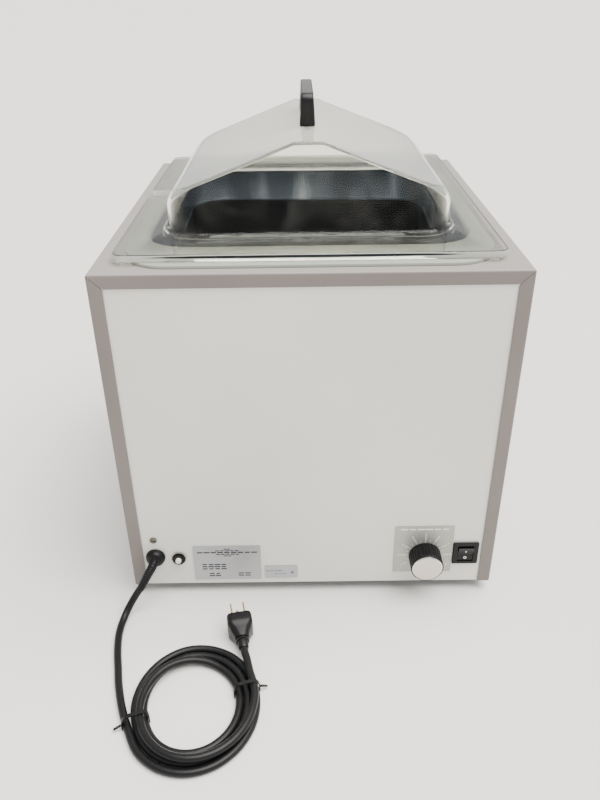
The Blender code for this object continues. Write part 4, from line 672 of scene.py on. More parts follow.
polished = grained("diamond-cut aluminium", "#EDEAE6", 0.16, 1.0, 1200.0, 0.05, 0.04)
plate_print = grained("clear-coated print", "#1E1F23", 0.42, 0.0, 1500.0, 0.10, 0.05)
white_print = grained("white screen print", "#E9E8E2", 0.42, 0.0, 1500.0, 0.10, 0.05)

label_foil, tree, shader, place = finish("brushed foil label", "#A9AAAE", 0.40, 0.55)
grain = noise(tree, place, 90.0, 3.0, (1.0, 1.0, 26.0))
spread(tree, shader, grain, 0.32, 0.50)
tree.links.new(ramp(tree, grain, [(0.3, "#A3A4A8"), (0.7, "#B0B1B4")]),
               shader.inputs["Base Color"])

scale_foil, tree, shader, place = finish("printed anodised plate", "#A3A39C", 0.40, 0.45)
grain = noise(tree, place, 70.0, 3.0, (1.0, 1.0, 20.0))
spread(tree, shader, grain, 0.32, 0.48)
tree.links.new(ramp(tree, grain, [(0.3, "#9C9C95"), (0.7, "#A9A9A2")]),
               shader.inputs["Base Color"])
print("small finishes ready")

# %% [markdown]
# Turned aluminium shows fine rings round the axis of the lathe. Rings are a wave texture over
# the distance from that axis, which a Mapping node first moves to the knob's centre.

# %% Turned aluminium
knob_low, knob_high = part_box("knob_body")
KNOB_CENTRE = (knob_low + knob_high) / 2
turned_cap, tree, shader, place = finish("turned aluminium", "#CFC7BE", 0.34, 0.8)
centred = node(tree, "ShaderNodeMapping", {"Vector": place},
               Location=(-KNOB_CENTRE.x, -KNOB_CENTRE.y, -KNOB_CENTRE.z)).outputs[0]
rings_node = node(tree, "ShaderNodeTexWave", {"Vector": centred}, wave_type="RINGS",
                  rings_direction="Y", Scale=420.0, Distortion=1.5, Detail=2.0)
bump(tree, shader, rings_node.outputs["Fac"], 0.10, 0.0001)
spread(tree, shader, rings_node.outputs["Fac"], 0.30, 0.42)
print("knob centre", [round(value, 4) for value in KNOB_CENTRE])

# %% [markdown]
# ## Clear cover material
#
# The cover is acrylic sheet, formed hot. Acrylic bends light a little less than glass, and it
# takes fine wipe scratches. The roof is handled and cleaned most, so it is the haziest part: some
# of its light is scattered white instead of let through. The plate's sawn edges are matt. The
# share that is let through is worked out from how level the surface is and how high it stands,
# with swirls of wipe marks on the walls.

# %% Clear acrylic
acrylic, tree, shader, place = finish("formed clear acrylic", "#F8F8F1", 0.03, 0.0, IOR=1.49,
                                      Specular_Tint=linear("#6C6E6E"))
level = node(tree, "ShaderNodeSeparateXYZ",
             {"Vector": node(tree, "ShaderNodeNewGeometry").outputs["Normal"]}).outputs["Z"]
level = node(tree, "ShaderNodeMath", {0: level}, operation="ABSOLUTE").outputs[0]
roof_like = node(tree, "ShaderNodeMapRange", {"Value": level}, From_Min=0.80, From_Max=0.93,
                 To_Max=0.24).outputs[0]
height = node(tree, "ShaderNodeSeparateXYZ", {"Vector": place}).outputs["Z"]
above_plate = node(tree, "ShaderNodeMapRange", {"Value": height}, From_Min=0.386,
                   From_Max=0.392).outputs[0]
roof_haze = node(tree, "ShaderNodeMath", {0: roof_like, 1: above_plate},
                 operation="MULTIPLY").outputs[0]
swirl = node(tree, "ShaderNodeTexNoise", {"Vector": place}, Scale=11.0, Detail=7.0,
             Distortion=2.2).outputs["Fac"]
wall_haze = node(tree, "ShaderNodeMapRange", {"Value": swirl}, From_Min=0.46, From_Max=0.70,
                 To_Min=0.002, To_Max=0.024).outputs[0]
upright = node(tree, "ShaderNodeMapRange", {"Value": level}, From_Min=0.50, From_Max=0.30,
               To_Max=0.62).outputs[0]
in_plate = node(tree, "ShaderNodeMapRange", {"Value": height}, From_Min=0.3724,
                From_Max=0.3719).outputs[0]
sawn_edge = node(tree, "ShaderNodeMath", {0: upright, 1: in_plate},
                 operation="MULTIPLY").outputs[0]
haze = node(tree, "ShaderNodeMath", {0: roof_haze, 1: wall_haze}, operation="ADD").outputs[0]
haze = node(tree, "ShaderNodeMath", {0: haze, 1: sawn_edge}, operation="ADD",
            use_clamp=True).outputs[0]
clear = node(tree, "ShaderNodeMath", {1: haze}, operation="SUBTRACT", in0=1.0).outputs[0]
tree.links.new(clear, shader.inputs["Transmission Weight"])
wipe = noise(tree, place, 18.0, 6.0, (3.0, 1.0, 1.0))
spread(tree, shader, wipe, 0.015, 0.06)

print("made", acrylic.name)

# %% [markdown]
# ## Finishes for the model's own pieces
#
# Most small pieces of the model already have the right shape. Their finish goes into their
# material slots; their meshes are left alone.

# %% Assign finishes
def give(material, *names):
    for name in names:
        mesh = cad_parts[name].data
        mesh.materials.clear()
        mesh.materials.append(material)


give(case_paint, "rear_panel", "case_wrapper")
give(panel_paint, "front_panel")
give(zinc_sheet, "base_pan", "heat_shield", "thermostat_body", "knob_set_screw")
give(clean_steel, "diffuser_shelf")
give(tank_steel, "tank")
give(acrylic, "gable_cover")
give(handle_moulding, "cover_handle")
give(black_moulding, "switch_housing", "switch_rocker", "breaker_body", "knob_body")
give(white_moulding, "terminal_block", "breaker_button")
give(rubber, "tank_gasket", "strain_relief", "foot_1", "foot_2", "foot_3", "foot_4")
give(nickel, "bushing_nut", "breaker_nut", "thermostat_shaft",
     "handle_screw_front", "handle_screw_rear")
give(nickel, *("foot_screw_%d" % n for n in range(1, 5)), *("rear_screw_%d" % n
                                                              for n in range(1, 5)))
give(tarnished, "panel_screw")
give(turned_cap, "knob_cap")
give(scale_foil, "scale_plate")
give(label_foil, "nameplate", "rating_label")
give(brass, "plug_blade_line", "plug_blade_neutral", "plug_ground_pin")
give(glass_wool, "insulation_jacket", "insulation_pad")
give(silicone, "heater_mat")
give(copper, "wire_supply", "wire_breaker", "wire_switch", "wire_thermostat",
     "bulb_and_capillary")
print("finishes given")

# %% [markdown]
# ## Casing wrapper
#
# One sheet is folded into the top and both sides, and its front edge is folded in again as a
# flange. The two side flanges meet the top flange in a mitre, with a small relief hole at the
# inner end of each fold and a slot at the outer corner, where the flat sheet was notched. It is
# made like the real one: a box open below, rounded bends, a sheet thickness, then cut-outs.

# %% Casing wrapper
SHEET = 0.0012


def cut_away(made, name, bm):
    """Takes the shape in bm out of made, by an exact Boolean, and returns the cutter."""
    tool = blank(name, bm)
    step = made.modifiers.new(name, "BOOLEAN")
    step.operation = "DIFFERENCE"
    step.solver = "EXACT"
    step.object = tool
    return tool


def drill(bm, radius, depth, matrix, segments=20):
    """Adds a cylinder along the matrix's own Y, which the quarter turn lays its Z on."""
    made = bmesh.ops.create_cone(bm, cap_ends=True, segments=segments, radius1=radius,
                                 radius2=radius, depth=depth)["verts"]
    bmesh.ops.transform(bm, verts=made, matrix=matrix @ Matrix.Rotation(math.pi / 2, 4, "X"))


def box_bm(low, high, bm=None, turn=None):
    bm = bm or bmesh.new()
    made = bmesh.ops.create_cube(bm, size=1.0)["verts"]
    low, high = Vector(low), Vector(high)
    for vert in made:
        vert.co = Vector([(low[i] + high[i]) / 2 + vert.co[i] * (high[i] - low[i])
                          for i in range(3)])
        if turn is not None:
            vert.co = turn @ vert.co
    return bm


shell_bm = box_bm((-HALF_WIDTH, FRONT_Y, BOTTOM_Z), (HALF_WIDTH, REAR_Y, TOP_Z))
bmesh.ops.delete(shell_bm, geom=[face for face in shell_bm.faces
                                 if all(abs(v.co.z - BOTTOM_Z) < 1e-6 for v in face.verts)],
                 context="FACES")
shell = blank("casing_shell", shell_bm)
bend = shell.modifiers.new("bends", "BEVEL")
bend.width = 0.0024
bend.segments = 5
sheet = shell.modifiers.new("sheet", "SOLIDIFY")
sheet.thickness = SHEET
sheet.offset = -1.0
sheet.use_even_offset = True

FLANGE_SIDE = 0.0132
FLANGE_TOP = 0.0126
REAR_FLANGE = 0.022
tank_low, tank_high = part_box("tank")
OPENING = Vector((0.0, FRONT_Y + 0.048 + 0.172, tank_high.z))
cuts = box_bm((-HALF_WIDTH + FLANGE_SIDE, FRONT_Y - 0.01, BOTTOM_Z - 0.01),
              (HALF_WIDTH - FLANGE_SIDE, FRONT_Y + 0.003, TOP_Z - FLANGE_TOP))
tools = [cut_away(shell, "front_window_cut", cuts)]
cuts = box_bm((-HALF_WIDTH + REAR_FLANGE, REAR_Y - 0.003, BOTTOM_Z - 0.01),
              (HALF_WIDTH - REAR_FLANGE, REAR_Y + 0.01, TOP_Z - REAR_FLANGE))
tools.append(cut_away(shell, "rear_window_cut", cuts))
deck_hole = loft([[(x, OPENING.y + y, z) for x, y in rounded(0.314, 0.354, 0.050)]
                  for z in (TOP_Z - 0.01, TOP_Z + 0.01)])
face_out(deck_hole)
tools.append(cut_away(shell, "deck_hole_cut", deck_hole))
mitres = bmesh.new()
for side in (-1, 1):
    inner = Vector((side * (HALF_WIDTH - FLANGE_SIDE), 0, TOP_Z - FLANGE_TOP))
    outer = Vector((side * HALF_WIDTH, 0, TOP_Z))
    angle = math.atan2(outer.z - inner.z, outer.x - inner.x)
    turn = (Matrix.Translation((inner.x, FRONT_Y, inner.z))
            @ Matrix.Rotation(-angle, 4, "Y"))
    reach = (outer - inner).length
    box_bm((0.0, -0.001, -0.00022), (reach - 0.0012, 0.00045, 0.00022), mitres, turn)
tools.append(cut_away(shell, "mitre_cut", mitres))
reliefs = bmesh.new()
for side in (-1, 1):
    drill(reliefs, 0.0011, 0.01, Matrix.Translation((side * (HALF_WIDTH - FLANGE_SIDE), FRONT_Y,
                                                     TOP_Z - FLANGE_TOP)))
tools.append(cut_away(shell, "relief_cut", reliefs))
screw_holes = bmesh.new()
for number in range(1, 5):
    low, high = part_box("rear_screw_%d" % number)
    drill(screw_holes, 0.0023, 0.02, Matrix.Translation(((low.x + high.x) / 2, REAR_Y,
                                                         (low.z + high.z) / 2)))
tools.append(cut_away(shell, "rear_screw_cut", screw_holes))
shell_bm = baked(shell)
for tool in tools:
    bpy.data.objects.remove(tool, do_unlink=True)
casing = piece("folded_casing", shell_bm, case_paint, "casing", 30)
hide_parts("case_wrapper")
print("casing:", len(casing.data.polygons), "faces")

# %% [markdown]
# ## Tank
#
# The tank hangs in the deck by its flange. It is a loft of rounded rectangles from the flange's
# turned-down edge, over the lip, down the wall to a swaged bead at the height where the painted
# shade begins, and round into the floor, with a sheet thickness added by Solidify.

# %% Tank
RIM_Z = tank_high.z
FLOOR_Z = tank_low.z + 0.001
rim_middle = (tank_low.y + tank_high.y) / 2
rim_depth = tank_high.y - tank_low.y


def rim_ring(inset, height, radius):
    return [(x, rim_middle + y, height) for x, y in
            rounded(0.328 - 2 * inset, rim_depth - 2 * inset, radius, 12)]


def tank_ring(inset, height, radius):
    return [(x, OPENING.y + y, height) for x, y in
            rounded(0.304 - 2 * inset, 0.344 - 2 * inset, radius, 12)]


tank_rings = [rim_ring(0.0, TOP_Z + 0.0003, 0.040), rim_ring(0.0, RIM_Z - 0.0012, 0.040),
              rim_ring(0.00035, RIM_Z - 0.00035, 0.0397), rim_ring(0.0012, RIM_Z, 0.0388)]
for step in range(9):
    angle = math.pi / 2 * step / 8
    tank_rings.append(tank_ring(0.004 * math.sin(angle), RIM_Z - 0.004 * (1 - math.cos(angle)),
                                0.045 - 0.004 * math.sin(angle)))
for rise, bulge in ((0.0040, 0.0), (0.0028, 0.0006), (0.0014, 0.0016), (0.0, 0.0020),
                    (-0.0014, 0.0016), (-0.0028, 0.0006), (-0.0040, 0.0)):
    tank_rings.append(tank_ring(0.0046 + bulge, SHADE_LINE + rise, 0.0404 - bulge))
for step in range(9):
    angle = math.pi / 2 * step / 8
    sweep = 0.024 * (1 - math.cos(angle))
    tank_rings.append(tank_ring(0.007 + sweep, FLOOR_Z + 0.024 * (1 - math.sin(angle)),
                                0.038 - 0.7 * sweep))
tank_bm = loft(tank_rings, cap_first=False)
bmesh.ops.recalc_face_normals(tank_bm, faces=tank_bm.faces)
floor_face = min(tank_bm.faces, key=lambda face: face.calc_center_median().z)
if floor_face.normal.z < 0:
    bmesh.ops.reverse_faces(tank_bm, faces=tank_bm.faces)
tank_shell = blank("tank_shell", tank_bm)
sheet = tank_shell.modifiers.new("sheet", "SOLIDIFY")
sheet.thickness = 0.0009
sheet.offset = -1.0
sheet.use_even_offset = True
tank_piece = piece("drawn_tank", baked(tank_shell), tank_steel, "casing", 40)
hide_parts("tank")
print("tank:", len(tank_piece.data.polygons), "faces")

# %% [markdown]
# ## Clear cover
#
# The cover is one sheet: a flat plate, drawn up into a box with a gable roof while hot. Every
# ring below has the same number of points, so one loft runs from the plate's edge over the fillet
# at the dome's foot, up the wall, round the eaves and along the roof to the ridge. The inner face
# is the same shape a wall's thickness inside. The notch for leads is cut last.

# %% Clear cover
cover_low, cover_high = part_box("gable_cover")
PLATE_LOW = cover_low.z
PLATE_TOP = PLATE_LOW + 0.0064
RIDGE_Z = cover_high.z
RIDGE_HALF = 0.013
SLOPE = math.tan(math.radians(20.9))
DOME_FRONT = FRONT_Y + 0.078
DOME_REAR = REAR_Y - 0.072
DOME_Y = (DOME_FRONT + DOME_REAR) / 2
WALL = 0.003
CORNER_STEPS = 14


def outline(half_x, half_y, radius):
    """(point, outward direction) round a rounded rectangle, with points at the ridge's edges."""
    points = []
    for quarter in range(4):
        side_x = 1 if quarter in (0, 3) else -1
        side_y = 1 if quarter in (0, 1) else -1
        centre = Vector((side_x * (half_x - radius), side_y * (half_y - radius)))
        for step in range(CORNER_STEPS + 1):
            angle = math.pi / 2 * (quarter + step / CORNER_STEPS)
            out = Vector((math.cos(angle), math.sin(angle)))
            points.append((centre + radius * out, out))
        if quarter in (0, 2):
            out = Vector((0, side_y))
            points.append((Vector((side_y * RIDGE_HALF, side_y * half_y)), out))
            points.append((Vector((-side_y * RIDGE_HALF, side_y * half_y)), out))
    return points


def roof(x, inset):
    return RIDGE_Z - inset - max(abs(x) - RIDGE_HALF, 0.0) * SLOPE


def dome_ring(inset, turn=0.0, gather=0.0, foot=None, flare=0.0):
    ring = []
    half_y = (DOME_REAR - DOME_FRONT) / 2
    for place, out in outline(0.1345 - inset + flare, half_y - inset + flare,
                              0.032 - inset + flare):
        edge = max(0.0022 + 0.0118 * out.x ** 2 - inset * 0.5, 0.0006)
        place = place - out * edge * (1 - math.cos(turn))
        near = max(-RIDGE_HALF, min(RIDGE_HALF, place.x))
        place.x += (near - place.x) * gather
        height = roof(place.x, inset) - edge * (1 - math.sin(turn))
        if foot is not None:
            height = foot
        rise = max(0.0, (height - PLATE_TOP) / (RIDGE_Z - PLATE_TOP))
        place.x -= out.x * 0.0015 * rise
        place.y -= out.y * 0.007 * rise
        ring.append((place.x, DOME_Y + place.y, height))
    return ring


plate_half = (cover_high.x, (cover_high.y - cover_low.y) / 2)
plate_y = (cover_high.y + cover_low.y) / 2


def plate_ring(inset, height):
    return [(place.x, plate_y + place.y, height) for place, out in
            outline(plate_half[0] - inset, plate_half[1] - inset, 0.011 - inset)]


def dome_face(inset, fillet):
    """Rings from the fillet at the dome's foot to the ridge."""
    made = []
    for step in range(6):
        angle = math.pi / 2 * step / 5
        made.append(dome_ring(inset, flare=fillet * (1 - math.sin(angle)),
                              foot=PLATE_TOP - inset + fillet * (1 - math.cos(angle))))
    for step in range(7):
        made.append(dome_ring(inset, math.pi / 2 * step / 6))
    for gather in (0.35, 0.7, 0.999):
        made.append(dome_ring(inset, math.pi / 2, gather))
    return made


outside = [plate_ring(0.0004, PLATE_LOW), plate_ring(0.0, PLATE_LOW + 0.0005),
           plate_ring(0.0, PLATE_TOP - 0.0005), plate_ring(0.0005, PLATE_TOP)]
outside += dome_face(0.0, 0.004)
inside = [dome_ring(WALL, flare=0.0075, foot=PLATE_LOW)] + dome_face(WALL, 0.0065)[1:]
cover_bm = bmesh.new()
loops = [[cover_bm.verts.new(point) for point in ring] for ring in outside]
inner_loops = [[cover_bm.verts.new(point) for point in ring] for ring in inside]
chain = list(zip(loops, loops[1:])) + [(b, a) for a, b in zip(inner_loops, inner_loops[1:])]
chain.append((inner_loops[0], loops[0]))
count = len(loops[0])
for low, high in chain:
    for i in range(count):
        j = (i + 1) % count
        cover_bm.faces.new((low[i], low[j], high[j], high[i]))
cover_bm.faces.new(loops[-1])
cover_bm.faces.new(reversed(inner_loops[-1]))
bmesh.ops.recalc_face_normals(cover_bm, faces=cover_bm.faces)
if cover_bm.calc_volume(signed=True) < 0:
    bmesh.ops.reverse_faces(cover_bm, faces=cover_bm.faces)
raw = blank("cover_blank", cover_bm)
notch_y = FRONT_Y + 0.216
notch_bm = loft([[(-0.172 + x, notch_y + 0.0125 + y, z) for x, y in
                  rounded(0.064, 0.025, 0.0025, 4)] for z in (PLATE_LOW - 0.01, PLATE_TOP + 0.01)])
face_out(notch_bm)
notch = cut_away(raw, "notch_cut", notch_bm)
cover_bm = baked(raw)
bpy.data.objects.remove(notch, do_unlink=True)
cover = piece("formed_cover", cover_bm, acrylic, "cover", 40)
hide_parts("gable_cover")
print("cover:", len(cover.data.polygons), "faces, ridge at %.0f mm" % (1000 * RIDGE_Z))

# %% [markdown]
# A long dark line runs in the plate's front edge: painted refraction of the dark tank behind it.
# It is a flat sliver that thins out to both ends, a few hundredths of a millimetre off the edge.

# %% Painted refraction in the plate's edge
# Near-black #1B2021, #14181A to #2A3032: the dark tank's refraction, painted into the edge.
grime, tree, shader, place = finish("blackish grime", "#1B2021", 0.55, Specular_IOR_Level=0.2)
tree.links.new(ramp(tree, noise(tree, place, 40.0, 4.0), [(0.35, "#14181A"), (0.7, "#2A3032")]),
               shader.inputs["Base Color"])
sliver = []
for step in range(61):
    share = -1 + step / 30
    half = max(0.0012 * (1 - abs(share) ** 6), 0.00005)
    across = -0.005 + 0.1385 * share
    sliver.append([(across, cover_low.y - depth, PLATE_LOW + 0.0040 + rise * half)
                   for rise, depth in ((-1, 0.00002), (1, 0.00002), (1, 0.00007), (-1, 0.00007))])
sliver_bm = loft(sliver)
face_out(sliver_bm)
piece("edge_grime", sliver_bm, grime, "cover", 30)
print("grime: %.0f mm long" % (2000 * 0.1385))

# %% [markdown]
# ## Cover handle
#
# The handle is one moulded bow: two legs and a bar, wider at the feet. Its outline is drawn from
# the side with rounded corners, given a width that shrinks evenly with height, and its edges are
# rounded by a Bevel. A sweep along the bow would need its section to change at every corner.

# %% Cover handle
handle_low, handle_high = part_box("cover_handle")
HANDLE_LEG = 0.016
HANDLE_BAR = 0.0085


def arc(centre, radius, first, last, steps=7):
    """Points (along, up) on an arc, from first to last degrees."""
    points = []
    for step in range(steps + 1):
        angle = math.radians(first + (last - first) * step / steps)
        points.append((centre[0] + radius * math.cos(angle),
                       centre[1] + radius * math.sin(angle)))
    return points


front, back = handle_low.y, handle_high.y
foot, top = handle_low.z, handle_high.z
under = top - HANDLE_BAR
side_view = [(front, foot), (front + HANDLE_LEG, foot)]
side_view += arc((front + HANDLE_LEG + 0.005, under - 0.005), 0.005, 180, 90)
side_view += arc((back - HANDLE_LEG - 0.005, under - 0.005), 0.005, 90, 0)
side_view += [(back - HANDLE_LEG, foot), (back, foot)]
side_view += arc((back - 0.009, top - 0.009), 0.009, 0, 90)
side_view += arc((front + 0.009, top - 0.009), 0.009, 90, 180)


def handle_half(height):
    return handle_high.x - (handle_high.x - 0.0059) * (height - foot) / (top - foot)


bow_bm = loft([[(side * handle_half(z), y, z) for y, z in side_view] for side in (-1, 1)])
face_out(bow_bm)
bow = blank("bow_blank", bow_bm)
rounding = bow.modifiers.new("rounding", "BEVEL")
rounding.width = 0.0017
rounding.segments = 5
rounding.limit_method = "ANGLE"
rounding.angle_limit = math.radians(40)
bow_bm = baked(bow)
face_out(bow_bm)
handle = piece("bow_handle", bow_bm, handle_moulding, "cover", 40)
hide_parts("cover_handle")
print("handle:", len(handle.data.polygons), "faces")

# %% [markdown]
# ## Repeated things
#
# Geometry Nodes make everything that repeats. The helpers build a tree with named inputs, end it
# with Realize Instances and Set Material, and run it on an empty carrier. Each input is set by
# the identifier of its socket, and the result is baked into a plain mesh.

# %% Geometry Nodes helpers
def group(name, **inputs):
    """A Geometry Nodes tree with those inputs: the tree, its input sockets, identifiers."""
    tree = bpy.data.node_groups.new(name, "GeometryNodeTree")
    keys = {}
    for label, kind in dict(inputs, Material="Material").items():
        socket = tree.interface.new_socket(label.replace("_", " "), in_out="INPUT",
                                           socket_type="NodeSocket" + kind)
        keys[label] = socket.identifier
    tree.interface.new_socket("Geometry", in_out="OUTPUT", socket_type="NodeSocketGeometry")
    sockets = tree.nodes.new("NodeGroupInput").outputs
    return tree, {label: sockets[number] for number, label in enumerate(keys)}, keys


def end_group(tree, source, material):
    real = node(tree, "GeometryNodeRealizeInstances", {0: source}).outputs[0]
    dressed = node(tree, "GeometryNodeSetMaterial", {"Geometry": real, "Material": material})
    out = tree.nodes.new("NodeGroupOutput")
    tree.links.new(dressed.outputs[0], out.inputs[0])


def calc(tree, operation, *values):
    made = node(tree, "ShaderNodeMath", operation=operation)
    for number, value in enumerate(values):
        if isinstance(value, (int, float)):
            made.inputs[number].default_value = value
        else:
            tree.links.new(value, made.inputs[number])
    return made.outputs[0]


def run_group(tree, keys, bm, **values):
    """Adds what the tree makes with those values to bm."""
    carrier = linked("carrier", bpy.data.meshes.new("carrier"))
    modifier = carrier.modifiers.new("nodes", "NODES")
    modifier.node_group = tree
    for label, value in values.items():
        modifier[keys[label]] = value
    return baked(carrier, bm)


print("Geometry Nodes helpers ready")

# %% [markdown]
# ## Dial scale
#
# The scale is printed on the plate round the knob: nine radial ticks, thirty degrees apart, with
# a digit beyond each. The ticks are thin boxes on points round a centre, so they stay a scale
# whatever their number. Ink is thin, but here it stands five hundredths of a millimetre proud.

# %% Tick marks
ticks_tree, given, ticks_keys = group("radial ticks", Count="Int", First="Float", Step="Float",
                                      Radius="Float", Size="Vector", Centre="Vector")
index = node(ticks_tree, "GeometryNodeInputIndex").outputs[0]
angle = calc(ticks_tree, "MULTIPLY_ADD", index, given["Step"], given["First"])
spoke = node(ticks_tree, "ShaderNodeCombineXYZ", {
    "X": calc(ticks_tree, "MULTIPLY", calc(ticks_tree, "COSINE", angle), given["Radius"]),
    "Z": calc(ticks_tree, "MULTIPLY", calc(ticks_tree, "SINE", angle), given["Radius"])})
spot = node(ticks_tree, "ShaderNodeVectorMath", {0: spoke.outputs[0], 1: given["Centre"]},
            operation="ADD").outputs[0]
points = node(ticks_tree, "GeometryNodePoints", {"Count": given["Count"], "Position": spot})
turn = node(ticks_tree, "FunctionNodeAxisAngleToRotation",
            {"Angle": calc(ticks_tree, "MULTIPLY", angle, -1.0)})
turn.inputs["Axis"].default_value = (0.0, 1.0, 0.0)
bar = node(ticks_tree, "GeometryNodeMeshCube", {"Size": given["Size"]})
placed = node(ticks_tree, "GeometryNodeInstanceOnPoints", {
    "Points": points.outputs[0], "Instance": bar.outputs["Mesh"], "Rotation": turn.outputs[0]})
end_group(ticks_tree, placed.outputs[0], given["Material"])

scale_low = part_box("scale_plate")[0]
INK = 0.00005
dial_face = Vector((KNOB_CENTRE.x, scale_low.y - INK / 2, KNOB_CENTRE.z))
scale_bm = bmesh.new()
run_group(ticks_tree, ticks_keys, scale_bm, Count=9, First=math.radians(-30),
          Step=math.radians(30), Radius=0.0208, Size=(0.0086, INK, 0.00078),
          Centre=tuple(dial_face), Material=white_print)
run_group(ticks_tree, ticks_keys, scale_bm, Count=17, First=math.radians(-30),
          Step=math.radians(15), Radius=0.0188, Size=(0.0026, INK, 0.00040),
          Centre=tuple(dial_face), Material=white_print)


def printed(text, size, centre, out_y):
    """Flat lettering that faces -Y, centred on (x, z)."""
    data = bpy.data.curves.new("digit", "FONT")
    data.body = text
    data.size = size
    data.extrude = INK / 2
    data.align_x = "CENTER"
    data.align_y = "CENTER"
    made = linked("digit", data)
    made.matrix_world = (Matrix.Translation((centre[0], out_y, centre[1]))
                         @ Matrix.Rotation(math.pi / 2, 4, "X"))
    return made


for number in range(9):
    angle = math.radians(210 - 30 * number)
    reach = 0.0273
    spot = (dial_face.x + reach * math.cos(angle), dial_face.z + reach * math.sin(angle))
    baked(printed(str(number + 1), 0.0042, spot, scale_low.y - INK / 2), scale_bm)
scale_print = piece("dial_print", scale_bm, white_print, "casing", 30)
print("dial print:", len(scale_print.data.polygons), "faces")

# %% [markdown]
# ## Printed rows
#
# Small lettering can't be read at this size, so each row is a run of short dashes of uneven
# length, like words seen from afar. One tree makes a block of rows: the number of words, the
# pitch and the seed are its inputs.

# %% Printed rows
rows_tree, given, rows_keys = group("printed rows", Words="Int", Rows="Int", Pitch="Float",
                                    Line="Float", Height="Float", Start="Vector", Seed="Int")
index = node(rows_tree, "GeometryNodeInputIndex").outputs[0]
row = calc(rows_tree, "FLOOR", calc(rows_tree, "DIVIDE", index, given["Words"]))
column = calc(rows_tree, "SUBTRACT", index, calc(rows_tree, "MULTIPLY", row, given["Words"]))
offset = node(rows_tree, "ShaderNodeCombineXYZ", {
    "X": calc(rows_tree, "MULTIPLY", column, given["Pitch"]),
    "Z": calc(rows_tree, "MULTIPLY", calc(rows_tree, "MULTIPLY", row, given["Line"]), -1.0)})
spot = node(rows_tree, "ShaderNodeVectorMath", {0: offset.outputs[0], 1: given["Start"]},
            operation="ADD").outputs[0]
total = calc(rows_tree, "MULTIPLY", given["Words"], given["Rows"])
points = node(rows_tree, "GeometryNodePoints", {"Count": total, "Position": spot})
share = node(rows_tree, "FunctionNodeRandomValue", {"Seed": given["Seed"]}, data_type="FLOAT")
share.inputs[2].default_value = 0.62
share.inputs[3].default_value = 0.93
long = calc(rows_tree, "MULTIPLY", share.outputs[1], given["Pitch"])
dash = node(rows_tree, "GeometryNodeMeshCube")
dash.inputs["Size"].default_value = (1.0, INK, 1.0)
shape = node(rows_tree, "ShaderNodeCombineXYZ", {"X": long, "Z": given["Height"]})
shape.inputs["Y"].default_value = 1.0
placed = node(rows_tree, "GeometryNodeInstanceOnPoints", {
    "Points": points.outputs[0], "Instance": dash.outputs["Mesh"], "Scale": shape.outputs[0]})
end_group(rows_tree, placed.outputs[0], given["Material"])


def rows(bm, plate, left, right, down, words, count=1, line=0.0028, height=0.0009, seed=1):
    """Rows of dashes from left to right on a plate, the first one that far down."""
    low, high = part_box(plate)
    pitch = (right - left) / words
    start = (low.x + left + pitch / 2, low.y - INK / 2, high.z - down)
    run_group(rows_tree, rows_keys, bm, Words=words, Rows=count, Pitch=pitch, Line=line,
              Height=height, Start=start, Seed=seed, Material=plate_print)


name_bm = bmesh.new()
rows(name_bm, "nameplate", 0.0323, 0.0394, 0.0041, 2, height=0.0012, seed=3)
rows(name_bm, "nameplate", 0.0230, 0.0486, 0.0063, 5, height=0.0013, seed=4)
rows(name_bm, "nameplate", 0.0036, 0.0676, 0.0086, 9, height=0.0017, seed=5)
rows(name_bm, "nameplate", 0.0236, 0.0490, 0.0111, 5, height=0.0013, seed=6)
rows(name_bm, "nameplate", 0.0318, 0.0405, 0.0133, 2, height=0.0012, seed=7)
rows(name_bm, "nameplate", 0.0079, 0.0345, 0.0251, 4, 3, 0.0030, 0.0017, seed=8)
rows(name_bm, "nameplate", 0.0150, 0.0280, 0.0377, 2, 2, 0.0030, 0.0016, seed=9)
rows(name_bm, "nameplate", 0.0458, 0.0598, 0.0374, 2, 2, 0.0030, 0.0016, seed=10)
piece("nameplate_print", name_bm, plate_print, "casing", 30)
label_bm = bmesh.new()
rows(label_bm, "rating_label", 0.0012, 0.0185, 0.0068, 4, height=0.0011, seed=11)
rows(label_bm, "rating_label", 0.0100, 0.0225, 0.0108, 3, height=0.0009, seed=12)
label_low, label_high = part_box("rating_label")
drill(label_bm, 0.0017, INK, Matrix.Translation((label_low.x + 0.0294, label_low.y - INK / 2,
                                                 label_high.z - 0.0092)), 24)
piece("label_print", label_bm, blue_print, "casing", 30)
header_bm = bmesh.new()
rows(header_bm, "scale_plate", 0.0052, 0.0560, 0.0036, 6, height=0.0014, seed=13)
piece("dial_header", header_bm, white_print, "casing", 30)
print("printed rows on three plates")

# %% [markdown]
# ## Control knob
#
# The knob is moulded black, with fine flutes all round for grip, and a turned aluminium disc is
# let into its face. The flutes follow a rule, so Geometry Nodes shape the body: a fine cylinder
# whose points are drawn in by an amount that depends on their angle and on how near the ends
# they are. The disc is turned from a profile, with a bright chamfer cut round its edge.

